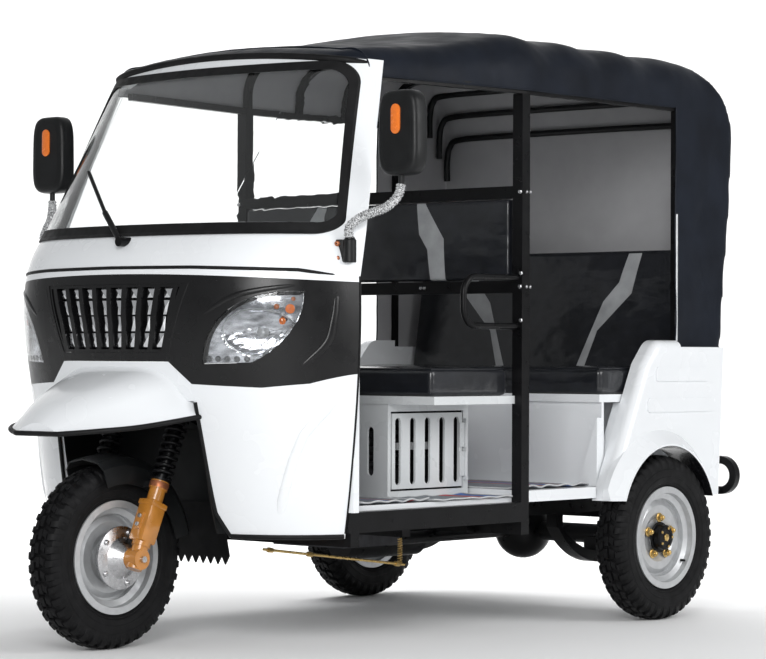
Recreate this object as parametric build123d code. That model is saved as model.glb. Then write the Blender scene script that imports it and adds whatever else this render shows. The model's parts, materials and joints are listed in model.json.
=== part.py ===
from build123d import *
import os
from math import cos, radians, sin

# Passenger auto rickshaw, built as separate pieces in millimetres.
# +X is the vehicle's left, +Y its rear and +Z up, with the origin on the ground under the middle of its box.

# Driving dimensions: running gear
WHEELBASE = 1856.0
FRONT_OVERHANG = 270.0
REAR_OVERHANG = 475.0
REAR_TRACK = 1272.0
TYRE_RADIUS = 268.0
TYRE_WIDTH = 114.0
RIM_RADIUS = 166.0
RIM_WIDTH = 98.0

# Driving dimensions: fork and steering
RAKE = 23.0
FORK_OFFSET = 35.0
FORK_HALF = 131.0
LEG_RADIUS = 24.0
LEG_DROP = 30.0
YOKE_RISE = 164.0
STEM_RADIUS = 16.0
STEM_TOP = 890.0
BAR_HALF = 330.0

# Driving dimensions: body
WALL = 10.0
FLOOR_Z = 405.0
RAIL_DEPTH = 60.0
RAIL_X = 400.0
RAIL_WIDTH = 50.0
SILL_X = 595.0
POST = 38.0
SEAT_Z = 735.0
SEAT_BOX_HALF = 400.0
SEAT_DEPTH = 385.0
CUSHION = 88.0
QUARTER_TOP = 912.0
FLAP_Z = 890.0
QUARTER_OUT = 655.0
QUARTER_IN = 595.0
QUARTER_LIP = 30.0
ARCH_TUCK = 12.0
ARCH_RISE = 42.0
ARCH_FLARE = 45.0

# Driving dimensions: windscreen and hood
HEADER_EDGE_Z = 1732.0
HEADER_CROWN_Z = 1768.0
SEAL_SIDE = 15.0
SEAL_LOW = 34.0
SEAL_TOP = 27.0
HOOD_WALL = 6.0
EAVE_Z = 1684.0
RAIL_TUBE = 22.0
BULKHEAD_RAILS = (1073.0, 1367.0)

# Driving dimensions: lamps, mirrors and wiper
LAMP_SKIN = 5.0
LAMP_DEPTH = 75.0
REFLECTOR_RADIUS = 66.0
MIRROR_X = 742.0
MIRROR_WIDTH = 150.0
MIRROR_THICK = 52.0
MIRROR_LOW = 1375.0
MIRROR_HIGH = 1622.0
MIRROR_ARM = 9.0
WIPER_X = 20.0
WIPER_Z = 1188.0
TAIL_LAMP_X = (420.0, 500.0)
TAIL_LAMP_Z = (680.0, 820.0)

# Driving dimensions: tail, bumper and underside
TAIL_LOW = 410.0
TAIL_SKIN = 12.0
BUMPER_TUBE = 26.0
BUMPER_Z = 455.0
BUMPER_WIDTH = 1304.0
BUMPER_HEIGHT = 130.0
BUMPER_STAY_X = 300.0
AXLE_TUBE = 32.0
LEAF_WIDTH = 50.0
MUFFLER_RADIUS = 55.0
MUFFLER_X = -210.0

# Running gaps
SEAT_GAP = 0.3
DOOR_GAP = 6.0

# Stations that follow from the driving dimensions
NOSE_Y = -(WHEELBASE + FRONT_OVERHANG + REAR_OVERHANG) / 2
FRONT_AXLE_Y = NOSE_Y + FRONT_OVERHANG
REAR_AXLE_Y = FRONT_AXLE_Y + WHEELBASE
TAIL_Y = REAR_AXLE_Y + REAR_OVERHANG
AXLE_Z = TYRE_RADIUS
BULKHEAD_Y = FRONT_AXLE_Y + 1198
SEAT_FRONT_Y = BULKHEAD_Y - POST / 2 - SEAT_DEPTH
RAIL_BOTTOM = FLOOR_Z - RAIL_DEPTH
CROSS_BOTTOM = RAIL_BOTTOM - 40
WELL_Y = FRONT_AXLE_Y + 330
REAR_FLOOR_TOP = FLOOR_Z + 35
RISER_Y = REAR_AXLE_Y - 230
LEG_TOP = TYRE_RADIUS - LEG_DROP
SPRING_TOP = TYRE_RADIUS + YOKE_RISE
ARCH_RADIUS = TYRE_RADIUS - ARCH_TUCK
ARCH_Z = AXLE_Z + ARCH_RISE
QUARTER_LOW = AXLE_Z + 128
TYRE_INNER_X = REAR_TRACK / 2 - TYRE_WIDTH / 2
LEAF_HALF = 240.0
MIDDLE_MEMBER_Y = (BULKHEAD_Y + REAR_AXLE_Y - LEAF_HALF) / 2
HOOD_REAR_Y = TAIL_Y - 13
FLAP_Y = REAR_AXLE_Y + 128
TAIL_TOP_Y = REAR_AXLE_Y + 370
TAIL_LOW_Y = REAR_AXLE_Y + 341
BUMPER_Y = TAIL_Y - BUMPER_TUBE / 2
MIRROR_Y = FRONT_AXLE_Y + 457
DEEP_FRONT = NOSE_Y - 100
DEEP_BACK = FRONT_AXLE_Y + 900

# Plan sections of the front shell, distances back from the front axle:
# height, half width, door edge, nose, shoulder x, shoulder
NOSE_SECTIONS = (
    (330.0, 598.0, 380.0, 150.0, 325.0, 165.0),
    (600.0, 632.0, 380.0, 72.0, 300.0, 95.0),
    (830.0, 650.0, 380.0, 22.0, 300.0, 50.0),
    (1080.0, 652.0, 380.0, 8.0, 314.0, 41.0),
    (1215.0, 646.0, 412.0, 85.0, 330.0, 120.0),
    (1800.0, 545.0, 612.0, 455.0, 380.0, 500.0),
)
CAB_Y = FRONT_AXLE_Y + NOSE_SECTIONS[0][2]

# Cross sections of the hood: station, half width, shoulder height, top half width, top height, crown height
HOOD_SECTIONS = (
    (FRONT_AXLE_Y + 548.0, 540.0, 1690.0, 440.0, 1768.0, 1796.0),
    (BULKHEAD_Y, 622.0, 1735.0, 505.0, 1866.0, 1900.0),
    (HOOD_REAR_Y, 632.0, 1735.0, 512.0, 1852.0, 1888.0),
)

# Sections of the front mudguard, distances ahead of the front axle:
# station, bottom half width, bottom height, top half width, top height, crown height
BEAK_SECTIONS = (
    (-150.0, 318.0, 690.0, 225.0, 862.0, 872.0),
    (90.0, 262.0, 655.0, 150.0, 764.0, 776.0),
    (200.0, 190.0, 642.0, 96.0, 708.0, 720.0),
    (FRONT_OVERHANG, 88.0, 632.0, 52.0, 652.0, 662.0),
)


def block(x, y, z):
    """A square-cut block between the limits on each axis."""
    size = Box(x[1] - x[0], y[1] - y[0], z[1] - z[0])
    return Pos((x[0] + x[1]) / 2, (y[0] + y[1]) / 2, (z[0] + z[1]) / 2) * size


def rod(start, end, radius):
    """A round bar between two points."""
    axis = Vector(end) - Vector(start)
    return Part(Solid.make_cylinder(radius, axis.length, Plane(start, z_dir=axis)).wrapped)


def bent_tube(points, radius, bend):
    """A round bar along straight runs with bends between them."""
    path = FilletPolyline(*points, radius=bend)
    return sweep(Plane(path @ 0, z_dir=path % 0) * Circle(radius), path=path)


def front_prism(sketch, start, end):
    """A shape drawn in the front view, run along Y between two stations."""
    return extrude(Plane((0, end, 0), x_dir=(1, 0, 0), z_dir=(0, -1, 0)) * sketch, amount=end - start)


def side_prism(points, start, end):
    """A polygon drawn in the side view, run along X between two stations."""
    return extrude(Plane.YZ.offset(start) * make_face(Polyline(*points, close=True)), amount=end - start)


def spin(points, centre, angle=360.0):
    """A polygon of (along X, radius) points turned about the X axis through a centre."""
    face = make_face(Polyline(*[(x, r, 0) for x, r in points], close=True))
    return Pos(*centre) * revolve(face, axis=Axis.X, revolution_arc=angle)


def mirrored(shape):
    """The same shape on the other side of the vehicle."""
    return mirror(shape, about=Plane.YZ)


def pair(shape):
    """A shape and its mirror image."""
    return [shape, mirrored(shape)]


def save(name, shapes):
    """Writes the solids of one piece to its STEP file."""
    solids = [solid for shape in shapes for solid in shape.solids()]
    export_step(Compound(children=solids), "parts/" + name + ".step")


def nose_form(inset, drop=0.0):
    """The front shell's outer form, moved in by an inset."""
    faces = []
    back = FRONT_AXLE_Y + 720 + 2 * inset
    for index, (height, half, door, nose, shoulder_x, shoulder) in enumerate(NOSE_SECTIONS):
        z = height - drop if index == 0 else height
        half = half - inset
        nose_y = FRONT_AXLE_Y + nose + inset
        shoulder_y = FRONT_AXLE_Y + shoulder + inset
        door_y = FRONT_AXLE_Y + door + inset
        front = ThreePointArc((-shoulder_x, shoulder_y), (0, nose_y), (shoulder_x, shoulder_y))
        left = TangentArc((shoulder_x, shoulder_y), (half, door_y), tangent=front % 1)
        right = TangentArc((-shoulder_x, shoulder_y), (-half, door_y), tangent=-(front % 0))
        rear = Polyline((half, door_y), (half, back), (-half, back), (-half, door_y))
        faces.append(Pos(0, 0, z) * make_face([front, left, right] + rear.edges()))
    return loft(faces[:-1]) + loft(faces[-2:], ruled=True)


def header_crown(drop):
    """Everything below the crowned top of the windscreen header."""
    edge = HEADER_EDGE_Z - drop
    arc = ThreePointArc((-700, edge - 26), (0, HEADER_CROWN_Z - drop), (700, edge - 26))
    sides = Polyline((700, edge - 26), (700, 200), (-700, 200), (-700, edge - 26))
    return front_prism(make_face([arc] + sides.edges()), DEEP_FRONT, DEEP_BACK)


def door_side():
    """Everything ahead of the door edges, drawn in the side view."""
    edge = [(FRONT_AXLE_Y + door, height) for height, half, door, nose, x, y in NOSE_SECTIONS]
    edge[0] = (edge[0][0], 200)
    edge[-1] = (edge[-1][0], NOSE_SECTIONS[-1][0])
    outline = [(DEEP_FRONT, 200)] + edge + [(DEEP_FRONT, NOSE_SECTIONS[-1][0])]
    return side_prism(outline, -800, 800)


def windscreen_outline(side, bottom, top, low_corner, high_corner):
    """The windscreen opening in the front view, moved in at its sides, bottom and top."""
    low, high = (623.0 - side, 1205.0 + bottom), (522.0 - side, 1727.0 - top)
    outline = make_face(Polyline((-low[0], low[1]), low, high, (-high[0], high[1]), close=True))
    outline = fillet(outline.vertices().group_by(Axis.Y)[0], low_corner)
    return fillet(outline.vertices().group_by(Axis.Y)[-1], high_corner)


def mask_outline(inset):
    """The dark mask in the front view: crowned top, low edge notched over the mudguard."""
    top = ThreePointArc((-690, 1066), (0, 1092), (690, 1066))
    low = Polyline((690, 1066), (690, 820), (640, 802), (583, 777), (488, 765), (292, 774), (220, 838),
                   (-220, 838), (-292, 774), (-488, 765), (-583, 777), (-640, 802), (-690, 820), (-690, 1066))
    outline = make_face([top] + low.edges())
    return offset(outline, -inset, kind=Kind.INTERSECTION) if inset else outline


def lamp_outline(inset):
    """The almond headlamp on the left, in the front view."""
    inner, outer, heel = (336.0, 832.0), (584.0, 1040.0), (470.0, 836.0)
    low = Line(inner, heel)
    belly = ThreePointArc(heel, (553, 914), outer)
    high = ThreePointArc(outer, (428, 992), inner)
    outline = make_face([low, belly, high])
    return offset(outline, -inset, kind=Kind.INTERSECTION) if inset else outline


def grille_outline(inset):
    """The grille opening in the front view."""
    outline = make_face(Polyline((-215, 864), (215, 864), (284, 1062), (-284, 1062), close=True))
    return offset(outline, -inset, kind=Kind.INTERSECTION) if inset else outline


def hood_outline(station, inset, bottom):
    """The hood's cross section at a station."""
    rows = HOOD_SECTIONS
    first, last = (rows[0], rows[1]) if station < rows[1][0] else (rows[1], rows[2])
    share = (station - first[0]) / (last[0] - first[0])
    half, shoulder, top_x, top, crown = [a + (b - a) * share for a, b in zip(first[1:], last[1:])]
    half, top, crown = half - inset, top - inset, crown - inset
    left = TangentArc((half, shoulder), (top_x, top), tangent=(0, 1))
    right = TangentArc((-half, shoulder), (-top_x, top), tangent=(0, 1))
    roof = ThreePointArc((top_x, top), (0, crown), (-top_x, top))
    low = Polyline((half, shoulder), (half, bottom), (-half, bottom), (-half, shoulder))
    return make_face([left, right, roof] + low.edges())


def hood_form(inset, bottom):
    """The hood's outer form with its rounded back, moved in by an inset."""
    faces = []
    for index, row in enumerate(HOOD_SECTIONS):
        station = row[0]
        shift = -2 * inset if index == 0 else 0
        plane = Plane((0, station + shift, 0), x_dir=(1, 0, 0), z_dir=(0, -1, 0))
        faces.append(plane * hood_outline(station, inset, bottom))
    form = loft(faces, ruled=True)
    rear = HOOD_REAR_Y - inset
    low = (rear - 78, FLAP_Z - 60)
    bulge = (rear, 1600)
    top = (rear - 290, 1893)
    front = HOOD_SECTIONS[0][0] - 60
    arc = ThreePointArc(bulge, (rear - 75, 1765), top)
    lines = Polyline(top, (BULKHEAD_Y, 1910), (front, 1910), (front, low[1]), low, bulge)
    profile = make_face([arc] + lines.edges())
    return form & extrude(Plane.YZ.offset(-800) * profile, amount=1600)


def fork_place():
    """The fork's own frame: Z up the legs from the front axle, Y back."""
    lean = radians(RAKE)
    return Plane((0, FRONT_AXLE_Y, AXLE_Z), x_dir=(1, 0, 0), z_dir=(0, sin(lean), cos(lean))).location


def on_axis(along):
    """The side-view point on the steering axis at a distance up it."""
    lean = radians(RAKE)
    y = FRONT_AXLE_Y + FORK_OFFSET * cos(lean) + along * sin(lean)
    return (y, AXLE_Z - FORK_OFFSET * sin(lean) + along * cos(lean))


def upright_rod(x, y, low, high, radius):
    """A round bar along its own Z between two heights, for pieces drawn up the fork."""
    return rod((x, y, low), (x, y, high), radius)


def hood_half(station):
    """The hood's inner half width at a station."""
    rows = HOOD_SECTIONS
    first, last = (rows[0], rows[1]) if station < rows[1][0] else (rows[1], rows[2])
    share = (station - first[0]) / (last[0] - first[0])
    return first[1] + (last[1] - first[1]) * share - HOOD_WALL - SEAT_GAP


def beak_form(inset, drop):
    """The front mudguard's outer form, moved in by an inset and let down by a drop."""
    faces = []
    for ahead, low_half, low, top_half, top, crown in BEAK_SECTIONS:
        ahead = ahead - inset if ahead > 150 else ahead
        top_x, top_z = top_half - inset / 2, top - inset
        low_x, low_z = low_half - inset, low - drop
        roof = ThreePointArc((-top_x, top_z), (0, crown - inset), (top_x, top_z))
        sides = Polyline((top_x, top_z), (low_x, low_z), (-low_x, low_z), (-top_x, top_z))
        plane = Plane((0, FRONT_AXLE_Y - ahead, 0), x_dir=(1, 0, 0), z_dir=(0, -1, 0))
        faces.append(plane * make_face([roof] + sides.edges()))
    return loft(faces)


def tail_face(height):
    """The tail panel's rear face at a height."""
    return TAIL_LOW_Y + (height - TAIL_LOW) * (TAIL_TOP_Y - TAIL_LOW_Y) / (FLAP_Z - TAIL_LOW)


def tyre(centre):
    """A road tyre with a rounded crown and two ribs of groove."""
    half = TYRE_WIDTH / 2
    crown, bead = TYRE_RADIUS, RIM_RADIUS - 14
    heel = RIM_WIDTH / 2 - 6 - SEAT_GAP
    edge = [(heel - 12, bead), (heel, bead), (heel, RIM_RADIUS + 2), (half - 3, RIM_RADIUS + 16),
            (half, RIM_RADIUS + 38), (half - 3, crown - 26), (half - 12, crown - 7), (26, crown - 1), (22, crown - 6),
            (18, crown - 6), (14, crown)]
    cavity = [(half - 16, crown - 26), (half - 10, RIM_RADIUS + 38), (heel - 12, RIM_RADIUS + 8)]
    points = edge + [(-x, r) for x, r in reversed(edge)] + [(-x, r) for x, r in reversed(cavity)] + cavity
    return spin(points, centre)


def rim(centre, hub_radius, bore, drum_radius, face):
    """A pressed steel rim with its disc, hub and brake drum; face is +1 when the disc looks along +X."""
    half = RIM_WIDTH / 2
    seat, well = RIM_RADIUS - 14 - SEAT_GAP, RIM_RADIUS - 34
    barrel = [(-half, RIM_RADIUS), (-half, RIM_RADIUS - 20), (-half + 18, RIM_RADIUS - 22), (-24, well - 5),
              (24, well - 5), (half - 18, RIM_RADIUS - 22), (half, RIM_RADIUS - 20), (half, RIM_RADIUS),
              (half - 5, RIM_RADIUS), (half - 6, seat), (half - 18, seat - 1), (20, well), (-20, well),
              (-half + 18, seat - 1), (-half + 6, seat), (-half + 5, RIM_RADIUS)]
    disc = [(0, bore), (0, hub_radius + 26), (10, hub_radius + 44), (10, well - 30), (0, well - 14), (0, well - 4),
            (8, well - 4), (8, well - 12), (18, well - 28), (18, hub_radius + 42), (8, hub_radius + 24),
            (8, hub_radius), (42, hub_radius - 6), (46, hub_radius - 16), (46, bore)]
    drum = [(-half + 8, bore), (-half + 8, drum_radius), (2, drum_radius - 4), (2, bore)]
    turn = [[(face * x, r) for x, r in part] for part in (barrel, disc, drum)]
    return spin(turn[0], centre) + spin(turn[1], centre) + spin(turn[2], centre)


os.makedirs("parts", exist_ok=True)

# Running gear: wheels
FRONT_CENTRE = (0.0, FRONT_AXLE_Y, AXLE_Z)
AXLE_RADIUS = 9.0
SPINDLE_RADIUS = 18.0
save("front_tyre", [tyre(FRONT_CENTRE)])
save("front_rim", [rim(FRONT_CENTRE, 34.0, AXLE_RADIUS + SEAT_GAP, 84.0, 1)])
for side, sign in (("left", 1), ("right", -1)):
    centre = (sign * REAR_TRACK / 2, REAR_AXLE_Y, AXLE_Z)
    save("rear_tyre_" + side, [tyre(centre)])
    save("rear_rim_" + side, [rim(centre, 38.0, SPINDLE_RADIUS + SEAT_GAP, 100.0, sign)])

# Fork and steering, drawn up the fork legs
FORK = fork_place()
COLLAR = 3.5
leg = upright_rod(FORK_HALF, 0, -32, LEG_TOP, LEG_RADIUS)
for low, high in ((38, 66), (LEG_TOP - 88, LEG_TOP - 74), (LEG_TOP - 24, LEG_TOP)):
    leg += upright_rod(FORK_HALF, 0, low, high, LEG_RADIUS + COLLAR)
leg += block((FORK_HALF - 9, FORK_HALF + 9), (-LEG_RADIUS - 12, 0), (82, 132))
boss = Pos(FORK_HALF, 0, 0) * Rot(0, 90, 0) * Cylinder(LEG_RADIUS + 6, 2 * LEG_RADIUS)
legs = leg + boss - Pos(FORK_HALF, 0, 0) * Rot(0, 90, 0) * Cylinder(AXLE_RADIUS + SEAT_GAP, 200)
save("fork_legs", [FORK * shape for shape in pair(legs)])

COILS = 8
coil_pitch = (SPRING_TOP - LEG_TOP - 30) / COILS
spring = upright_rod(FORK_HALF, 0, LEG_TOP, SPRING_TOP, 18)
spring += upright_rod(FORK_HALF, 0, LEG_TOP, LEG_TOP + 22, 28)
for index in range(COILS):
    base = LEG_TOP + 30 + index * coil_pitch
    spring += upright_rod(FORK_HALF, 0, base, base + coil_pitch / 2, 33)
save("fork_springs", [FORK * shape for shape in pair(spring)])

yoke_face = RectangleRounded(2 * FORK_HALF + 80, FORK_OFFSET + 70, 34)
yoke = Pos(0, FORK_OFFSET / 2, SPRING_TOP) * extrude(yoke_face, 20)
yoke += upright_rod(0, FORK_OFFSET, SPRING_TOP, STEM_TOP, STEM_RADIUS)
save("fork_yoke", [FORK * yoke])

BAR_Z = STEM_TOP + 16
bar = bent_tube([(-BAR_HALF, FORK_OFFSET + 95, BAR_Z), (-150, FORK_OFFSET, BAR_Z), (150, FORK_OFFSET, BAR_Z),
                 (BAR_HALF, FORK_OFFSET + 95, BAR_Z)], 11, 50)
bar += block((-34, 34), (FORK_OFFSET - 24, FORK_OFFSET + 24), (STEM_TOP, BAR_Z + 16))
grip_run = Vector(BAR_HALF - 150, 95, 0).normalized()
grip_end = Vector(BAR_HALF, FORK_OFFSET + 95, BAR_Z)
grip = rod(grip_end - grip_run * 115, grip_end + grip_run * 4, 17)
save("handlebar", [FORK * (bar + grip + mirrored(grip))])

ROOF = TYRE_RADIUS + 35
SKIRT = TYRE_RADIUS - 54
outside = [(80, SKIRT), (80, ROOF - 35), (60, ROOF - 11)]
inside = [(76, SKIRT), (76, ROOF - 37), (58, ROOF - 15)]
arch = [(-x, r) for x, r in outside] + [(0, ROOF)] + outside[::-1]
arch += inside + [(0, ROOF - 4)] + [(-x, r) for x, r in reversed(inside)]
fender = Pos(*FRONT_CENTRE) * Rot(12, 0, 0) * spin(arch, (0, 0, 0), 96)
stay = block((78, FORK_HALF - LEG_RADIUS - COLLAR - SEAT_GAP), (-12, 12), (LEG_TOP - 22, LEG_TOP - 2))
save("fork_fender", [fender + FORK * stay + FORK * mirrored(stay)])

axle = rod((-FORK_HALF - 34, FRONT_AXLE_Y, AXLE_Z), (FORK_HALF + 34, FRONT_AXLE_Y, AXLE_Z), AXLE_RADIUS)
plate = spin([(58, AXLE_RADIUS), (58, 92), (66, 92), (72, 60), (FORK_HALF - LEG_RADIUS - SEAT_GAP, 30),
              (FORK_HALF - LEG_RADIUS - SEAT_GAP, AXLE_RADIUS)], FRONT_CENTRE)
save("front_axle", [axle + plate])

# Chassis
REAR_END = REAR_AXLE_Y + 290
RAIL_FRONT = CAB_Y + 5
rail = block((RAIL_X - RAIL_WIDTH / 2, RAIL_X + RAIL_WIDTH / 2), (RAIL_FRONT, REAR_END), (RAIL_BOTTOM, FLOOR_Z))
sill = block((SILL_X - POST / 2, SILL_X + POST / 2), (CAB_Y, BULKHEAD_Y - POST / 2), (RAIL_BOTTOM, FLOOR_Z))
save("chassis_rails", pair(rail) + pair(sill))

ENGINE_FRONT = BULKHEAD_Y - 325
ENGINE_REAR = BULKHEAD_Y - 55
members = []
for station, half in ((RAIL_FRONT + 20, SILL_X + POST / 2), (ENGINE_FRONT - 20, RAIL_X + RAIL_WIDTH / 2),
                      (ENGINE_REAR + 20, RAIL_X + RAIL_WIDTH / 2), (BULKHEAD_Y, SILL_X + POST / 2),
                      (MIDDLE_MEMBER_Y, RAIL_X + RAIL_WIDTH / 2), (REAR_END - 20, RAIL_X + RAIL_WIDTH / 2)):
    members.append(block((-half, half), (station - 19, station + 19), (CROSS_BOTTOM, RAIL_BOTTOM)))
save("chassis_crossmembers", members)

HEAD_LOW = SPRING_TOP + 43
HEAD_HIGH = HEAD_LOW + 225
COLUMN_Y = WELL_Y + 10
COLUMN_REAR = COLUMN_Y + 62
neck = side_prism([(COLUMN_Y, RAIL_BOTTOM), (COLUMN_REAR, RAIL_BOTTOM), (COLUMN_REAR, 780), on_axis(HEAD_HIGH - 20),
                   on_axis(HEAD_LOW + 20), (COLUMN_Y, 705)], -30, 30)
head = upright_rod(0, FORK_OFFSET, HEAD_LOW, HEAD_HIGH, STEM_RADIUS + 16)
bore = upright_rod(0, FORK_OFFSET, HEAD_LOW - 60, HEAD_HIGH + 60, STEM_RADIUS + SEAT_GAP)
save("headstock", [neck + FORK * head - FORK * bore])

# Floors, mats and the front wheel well
MAT = 8.0
FLOOR_HALF = SILL_X - POST / 2 - SEAT_GAP
front_floor = block((-FLOOR_HALF, FLOOR_HALF), (WELL_Y + 80, BULKHEAD_Y - POST / 2), (FLOOR_Z, FLOOR_Z + 15))
front_floor -= block((-300, 300), (SEAT_FRONT_Y + 20, BULKHEAD_Y - POST), (FLOOR_Z - 5, FLOOR_Z + 40))
STEP_HALF = 612.0
INNER_HALF = TYRE_INNER_X - 12
rear_floor = block((-STEP_HALF, STEP_HALF), (BULKHEAD_Y + POST / 2, REAR_AXLE_Y - TYRE_RADIUS - 20),
                   (FLOOR_Z, REAR_FLOOR_TOP))
rear_floor += block((-INNER_HALF, INNER_HALF), (BULKHEAD_Y + POST / 2, RISER_Y + 14), (FLOOR_Z, REAR_FLOOR_TOP))
save("floor_pan", [front_floor, rear_floor])
front_mat = block((-570, 570), (WELL_Y + 85, SEAT_FRONT_Y - 4), (FLOOR_Z + 15, FLOOR_Z + 15 + MAT))
rear_mat = block((-560, 560), (BULKHEAD_Y + 24, RISER_Y - 30), (REAR_FLOOR_TOP, REAR_FLOOR_TOP + MAT))
save("floor_mats", [front_mat, rear_mat])

well_half = 296.0
well = block((-well_half, well_half), (FRONT_AXLE_Y + 40, WELL_Y + 5), (340, 805))
well -= block((-well_half + 5, well_half - 5), (FRONT_AXLE_Y, WELL_Y), (300, 800))
well -= block((-46, 46), (WELL_Y - 130, WELL_Y + 40), (680, 830))
well = well & nose_form(WALL + SEAT_GAP, 5)
save("wheel_well", [well])

FLAP_HALF = 186.0
TEETH = 12
tooth_pitch = 2 * FLAP_HALF / TEETH
flap_teeth = [(-150, 420), (-FLAP_HALF, 262)]
for tooth in range(TEETH):
    left = -FLAP_HALF + tooth * tooth_pitch
    flap_teeth += [(left + tooth_pitch / 2, 236), (left + tooth_pitch, 262)]
flap = make_face(Polyline(*flap_teeth, (150, 420), close=True))
flap = front_prism(flap, WELL_Y - 6 - SEAT_GAP, WELL_Y - SEAT_GAP)
save("mud_flap", [flap])

# Front shell
outer = nose_form(0) & header_crown(0) & door_side()
shell = outer - (nose_form(WALL, 20) & header_crown(30))
mask_zone = front_prism(mask_outline(0), DEEP_FRONT, DEEP_BACK)
mask_fit = front_prism(mask_outline(SEAT_GAP), DEEP_FRONT, DEEP_BACK)
above = block((-800, 800), (DEEP_FRONT, DEEP_BACK), (1000, 1900)) - mask_zone
below = block((-800, 800), (DEEP_FRONT, DEEP_BACK), (200, 1000)) - mask_zone
lamp_zone = front_prism(lamp_outline(0), DEEP_FRONT, FRONT_AXLE_Y + 500)
lamp_zones = lamp_zone + mirrored(lamp_zone)

deep_screen = FRONT_AXLE_Y + 600
screen_zone = front_prism(windscreen_outline(0, 0, 0, 38, 90), DEEP_FRONT, deep_screen)
frame = (shell & above) - screen_zone
save("windscreen_frame", [frame])
seal_outer = front_prism(windscreen_outline(SEAT_GAP, SEAT_GAP, SEAT_GAP, 38, 90), DEEP_FRONT, deep_screen)
seal_inner = front_prism(windscreen_outline(SEAL_SIDE, SEAL_LOW, SEAL_TOP, 26, 75), DEEP_FRONT, deep_screen)
save("windscreen_seal", [(nose_form(-6) - nose_form(WALL + 4)) & (seal_outer - seal_inner)])
pane = windscreen_outline(SEAL_SIDE + SEAT_GAP, SEAL_LOW + SEAT_GAP, SEAL_TOP + SEAT_GAP, 26, 75)
glass = (nose_form(0) - nose_form(6)) & front_prism(pane, DEEP_FRONT, deep_screen)
save("windscreen_glass", [glass])

grille_zone = front_prism(grille_outline(0), DEEP_FRONT, FRONT_AXLE_Y + 300)
save("mask_panel", [(shell & mask_fit) - lamp_zones - grille_zone])

arch_cut = make_face(Polyline((-345, 200), (345, 200), (345, 330), (312, 400), (292, 725), (-292, 725), (-312, 400),
                              (-345, 330), close=True))
arch_zone = front_prism(arch_cut, DEEP_FRONT, FRONT_AXLE_Y + 320)
save("lower_cowl", [(shell & below) - arch_zone])

# Headlamps
lens_zone = front_prism(lamp_outline(SEAT_GAP), DEEP_FRONT, FRONT_AXLE_Y + 500)
skin = nose_form(0) - nose_form(LAMP_SKIN)
save("headlamp_lenses", pair(skin & lens_zone))
bowl_zone = front_prism(lamp_outline(SEAT_GAP), DEEP_FRONT, FRONT_AXLE_Y + 235)
bowl_block = (nose_form(LAMP_SKIN + SEAT_GAP) - nose_form(LAMP_DEPTH)) & bowl_zone
reflector = Pos(455, FRONT_AXLE_Y + 62, 920) * Sphere(REFLECTOR_RADIUS)
save("headlamp_bowls", pair(bowl_block - reflector))

# Grille: bright strips behind dark kinked bars
GRILLE_ROWS = (1040.0, 990.0, 940.0, 890.0)
GRILLE_BARS = 9
bars = None
for index in range(GRILLE_BARS):
    place = index / (GRILLE_BARS - 1) * 2 - 1
    top, mid, low = place * 262, place * 226 + 10, place * 196
    outline = make_face(Polyline((low - 9, 840), (low + 9, 840), (mid + 9, 950), (top + 9, 1080), (top - 9, 1080),
                                 (mid - 9, 950), close=True))
    stave = front_prism(outline, FRONT_AXLE_Y, FRONT_AXLE_Y + 90)
    bars = stave if bars is None else bars + stave
surround = front_prism(grille_outline(SEAT_GAP) - grille_outline(9), DEEP_FRONT, FRONT_AXLE_Y + 90)
bars = (bars + surround) & front_prism(grille_outline(SEAT_GAP), DEEP_FRONT, FRONT_AXLE_Y + 90)
bars = bars & (nose_form(2) - nose_form(26))
save("grille_bars", [bars])
strips = []
for height in GRILLE_ROWS:
    band = block((-320, 320), (DEEP_FRONT, DEEP_BACK), (height - 19, height + 19))
    strip = (nose_form(26 + SEAT_GAP) - nose_form(38)) & band
    strips.append(strip & front_prism(grille_outline(1), DEEP_FRONT, FRONT_AXLE_Y + 150))
save("grille_strips", strips)

# Front mudguard fixed to the cowl
beak = beak_form(0, 0) - beak_form(7, 12) - nose_form(-SEAT_GAP)
save("front_mudguard", [beak])

# Dashboard shelf and door jambs
shelf = nose_form(WALL + SEAT_GAP) & block((-700, 700), (DEEP_FRONT, FRONT_AXLE_Y + 238), (1088, 1104))
shelf += block((-120, 120), (FRONT_AXLE_Y + 150, FRONT_AXLE_Y + 238), (1100, 1180))
save("dashboard", [shelf])
jamb = block((600, 630), (CAB_Y, CAB_Y + 24), (FLOOR_Z, 1064))
save("door_jambs", pair(jamb))

# Wiper, standing a little off the glass: boss on the cowl, arm and blade
boss_base = (WIPER_X, FRONT_AXLE_Y + 120, WIPER_Z)
boss_end = (WIPER_X, FRONT_AXLE_Y + 26, WIPER_Z)
elbow = (-110.0, FRONT_AXLE_Y + 96, 1278.0)
hook = (-300.0, FRONT_AXLE_Y + 206, 1412.0)
boss = rod(boss_base, boss_end, 14) - nose_form(-SEAT_GAP)
arm = rod((WIPER_X, FRONT_AXLE_Y + 34, WIPER_Z), elbow, 9) + rod(elbow, hook, 6)
arm += Pos(*elbow) * Sphere(9)
blade = rod((-141, FRONT_AXLE_Y + 134, 1331), (-440, FRONT_AXLE_Y + 300, 1485), 8)
sweep_set = boss + ((arm + blade) - nose_form(-6 - SEAT_GAP))
save("wiper", [sweep_set.solids().sort_by(SortBy.VOLUME)[-1]])

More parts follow.
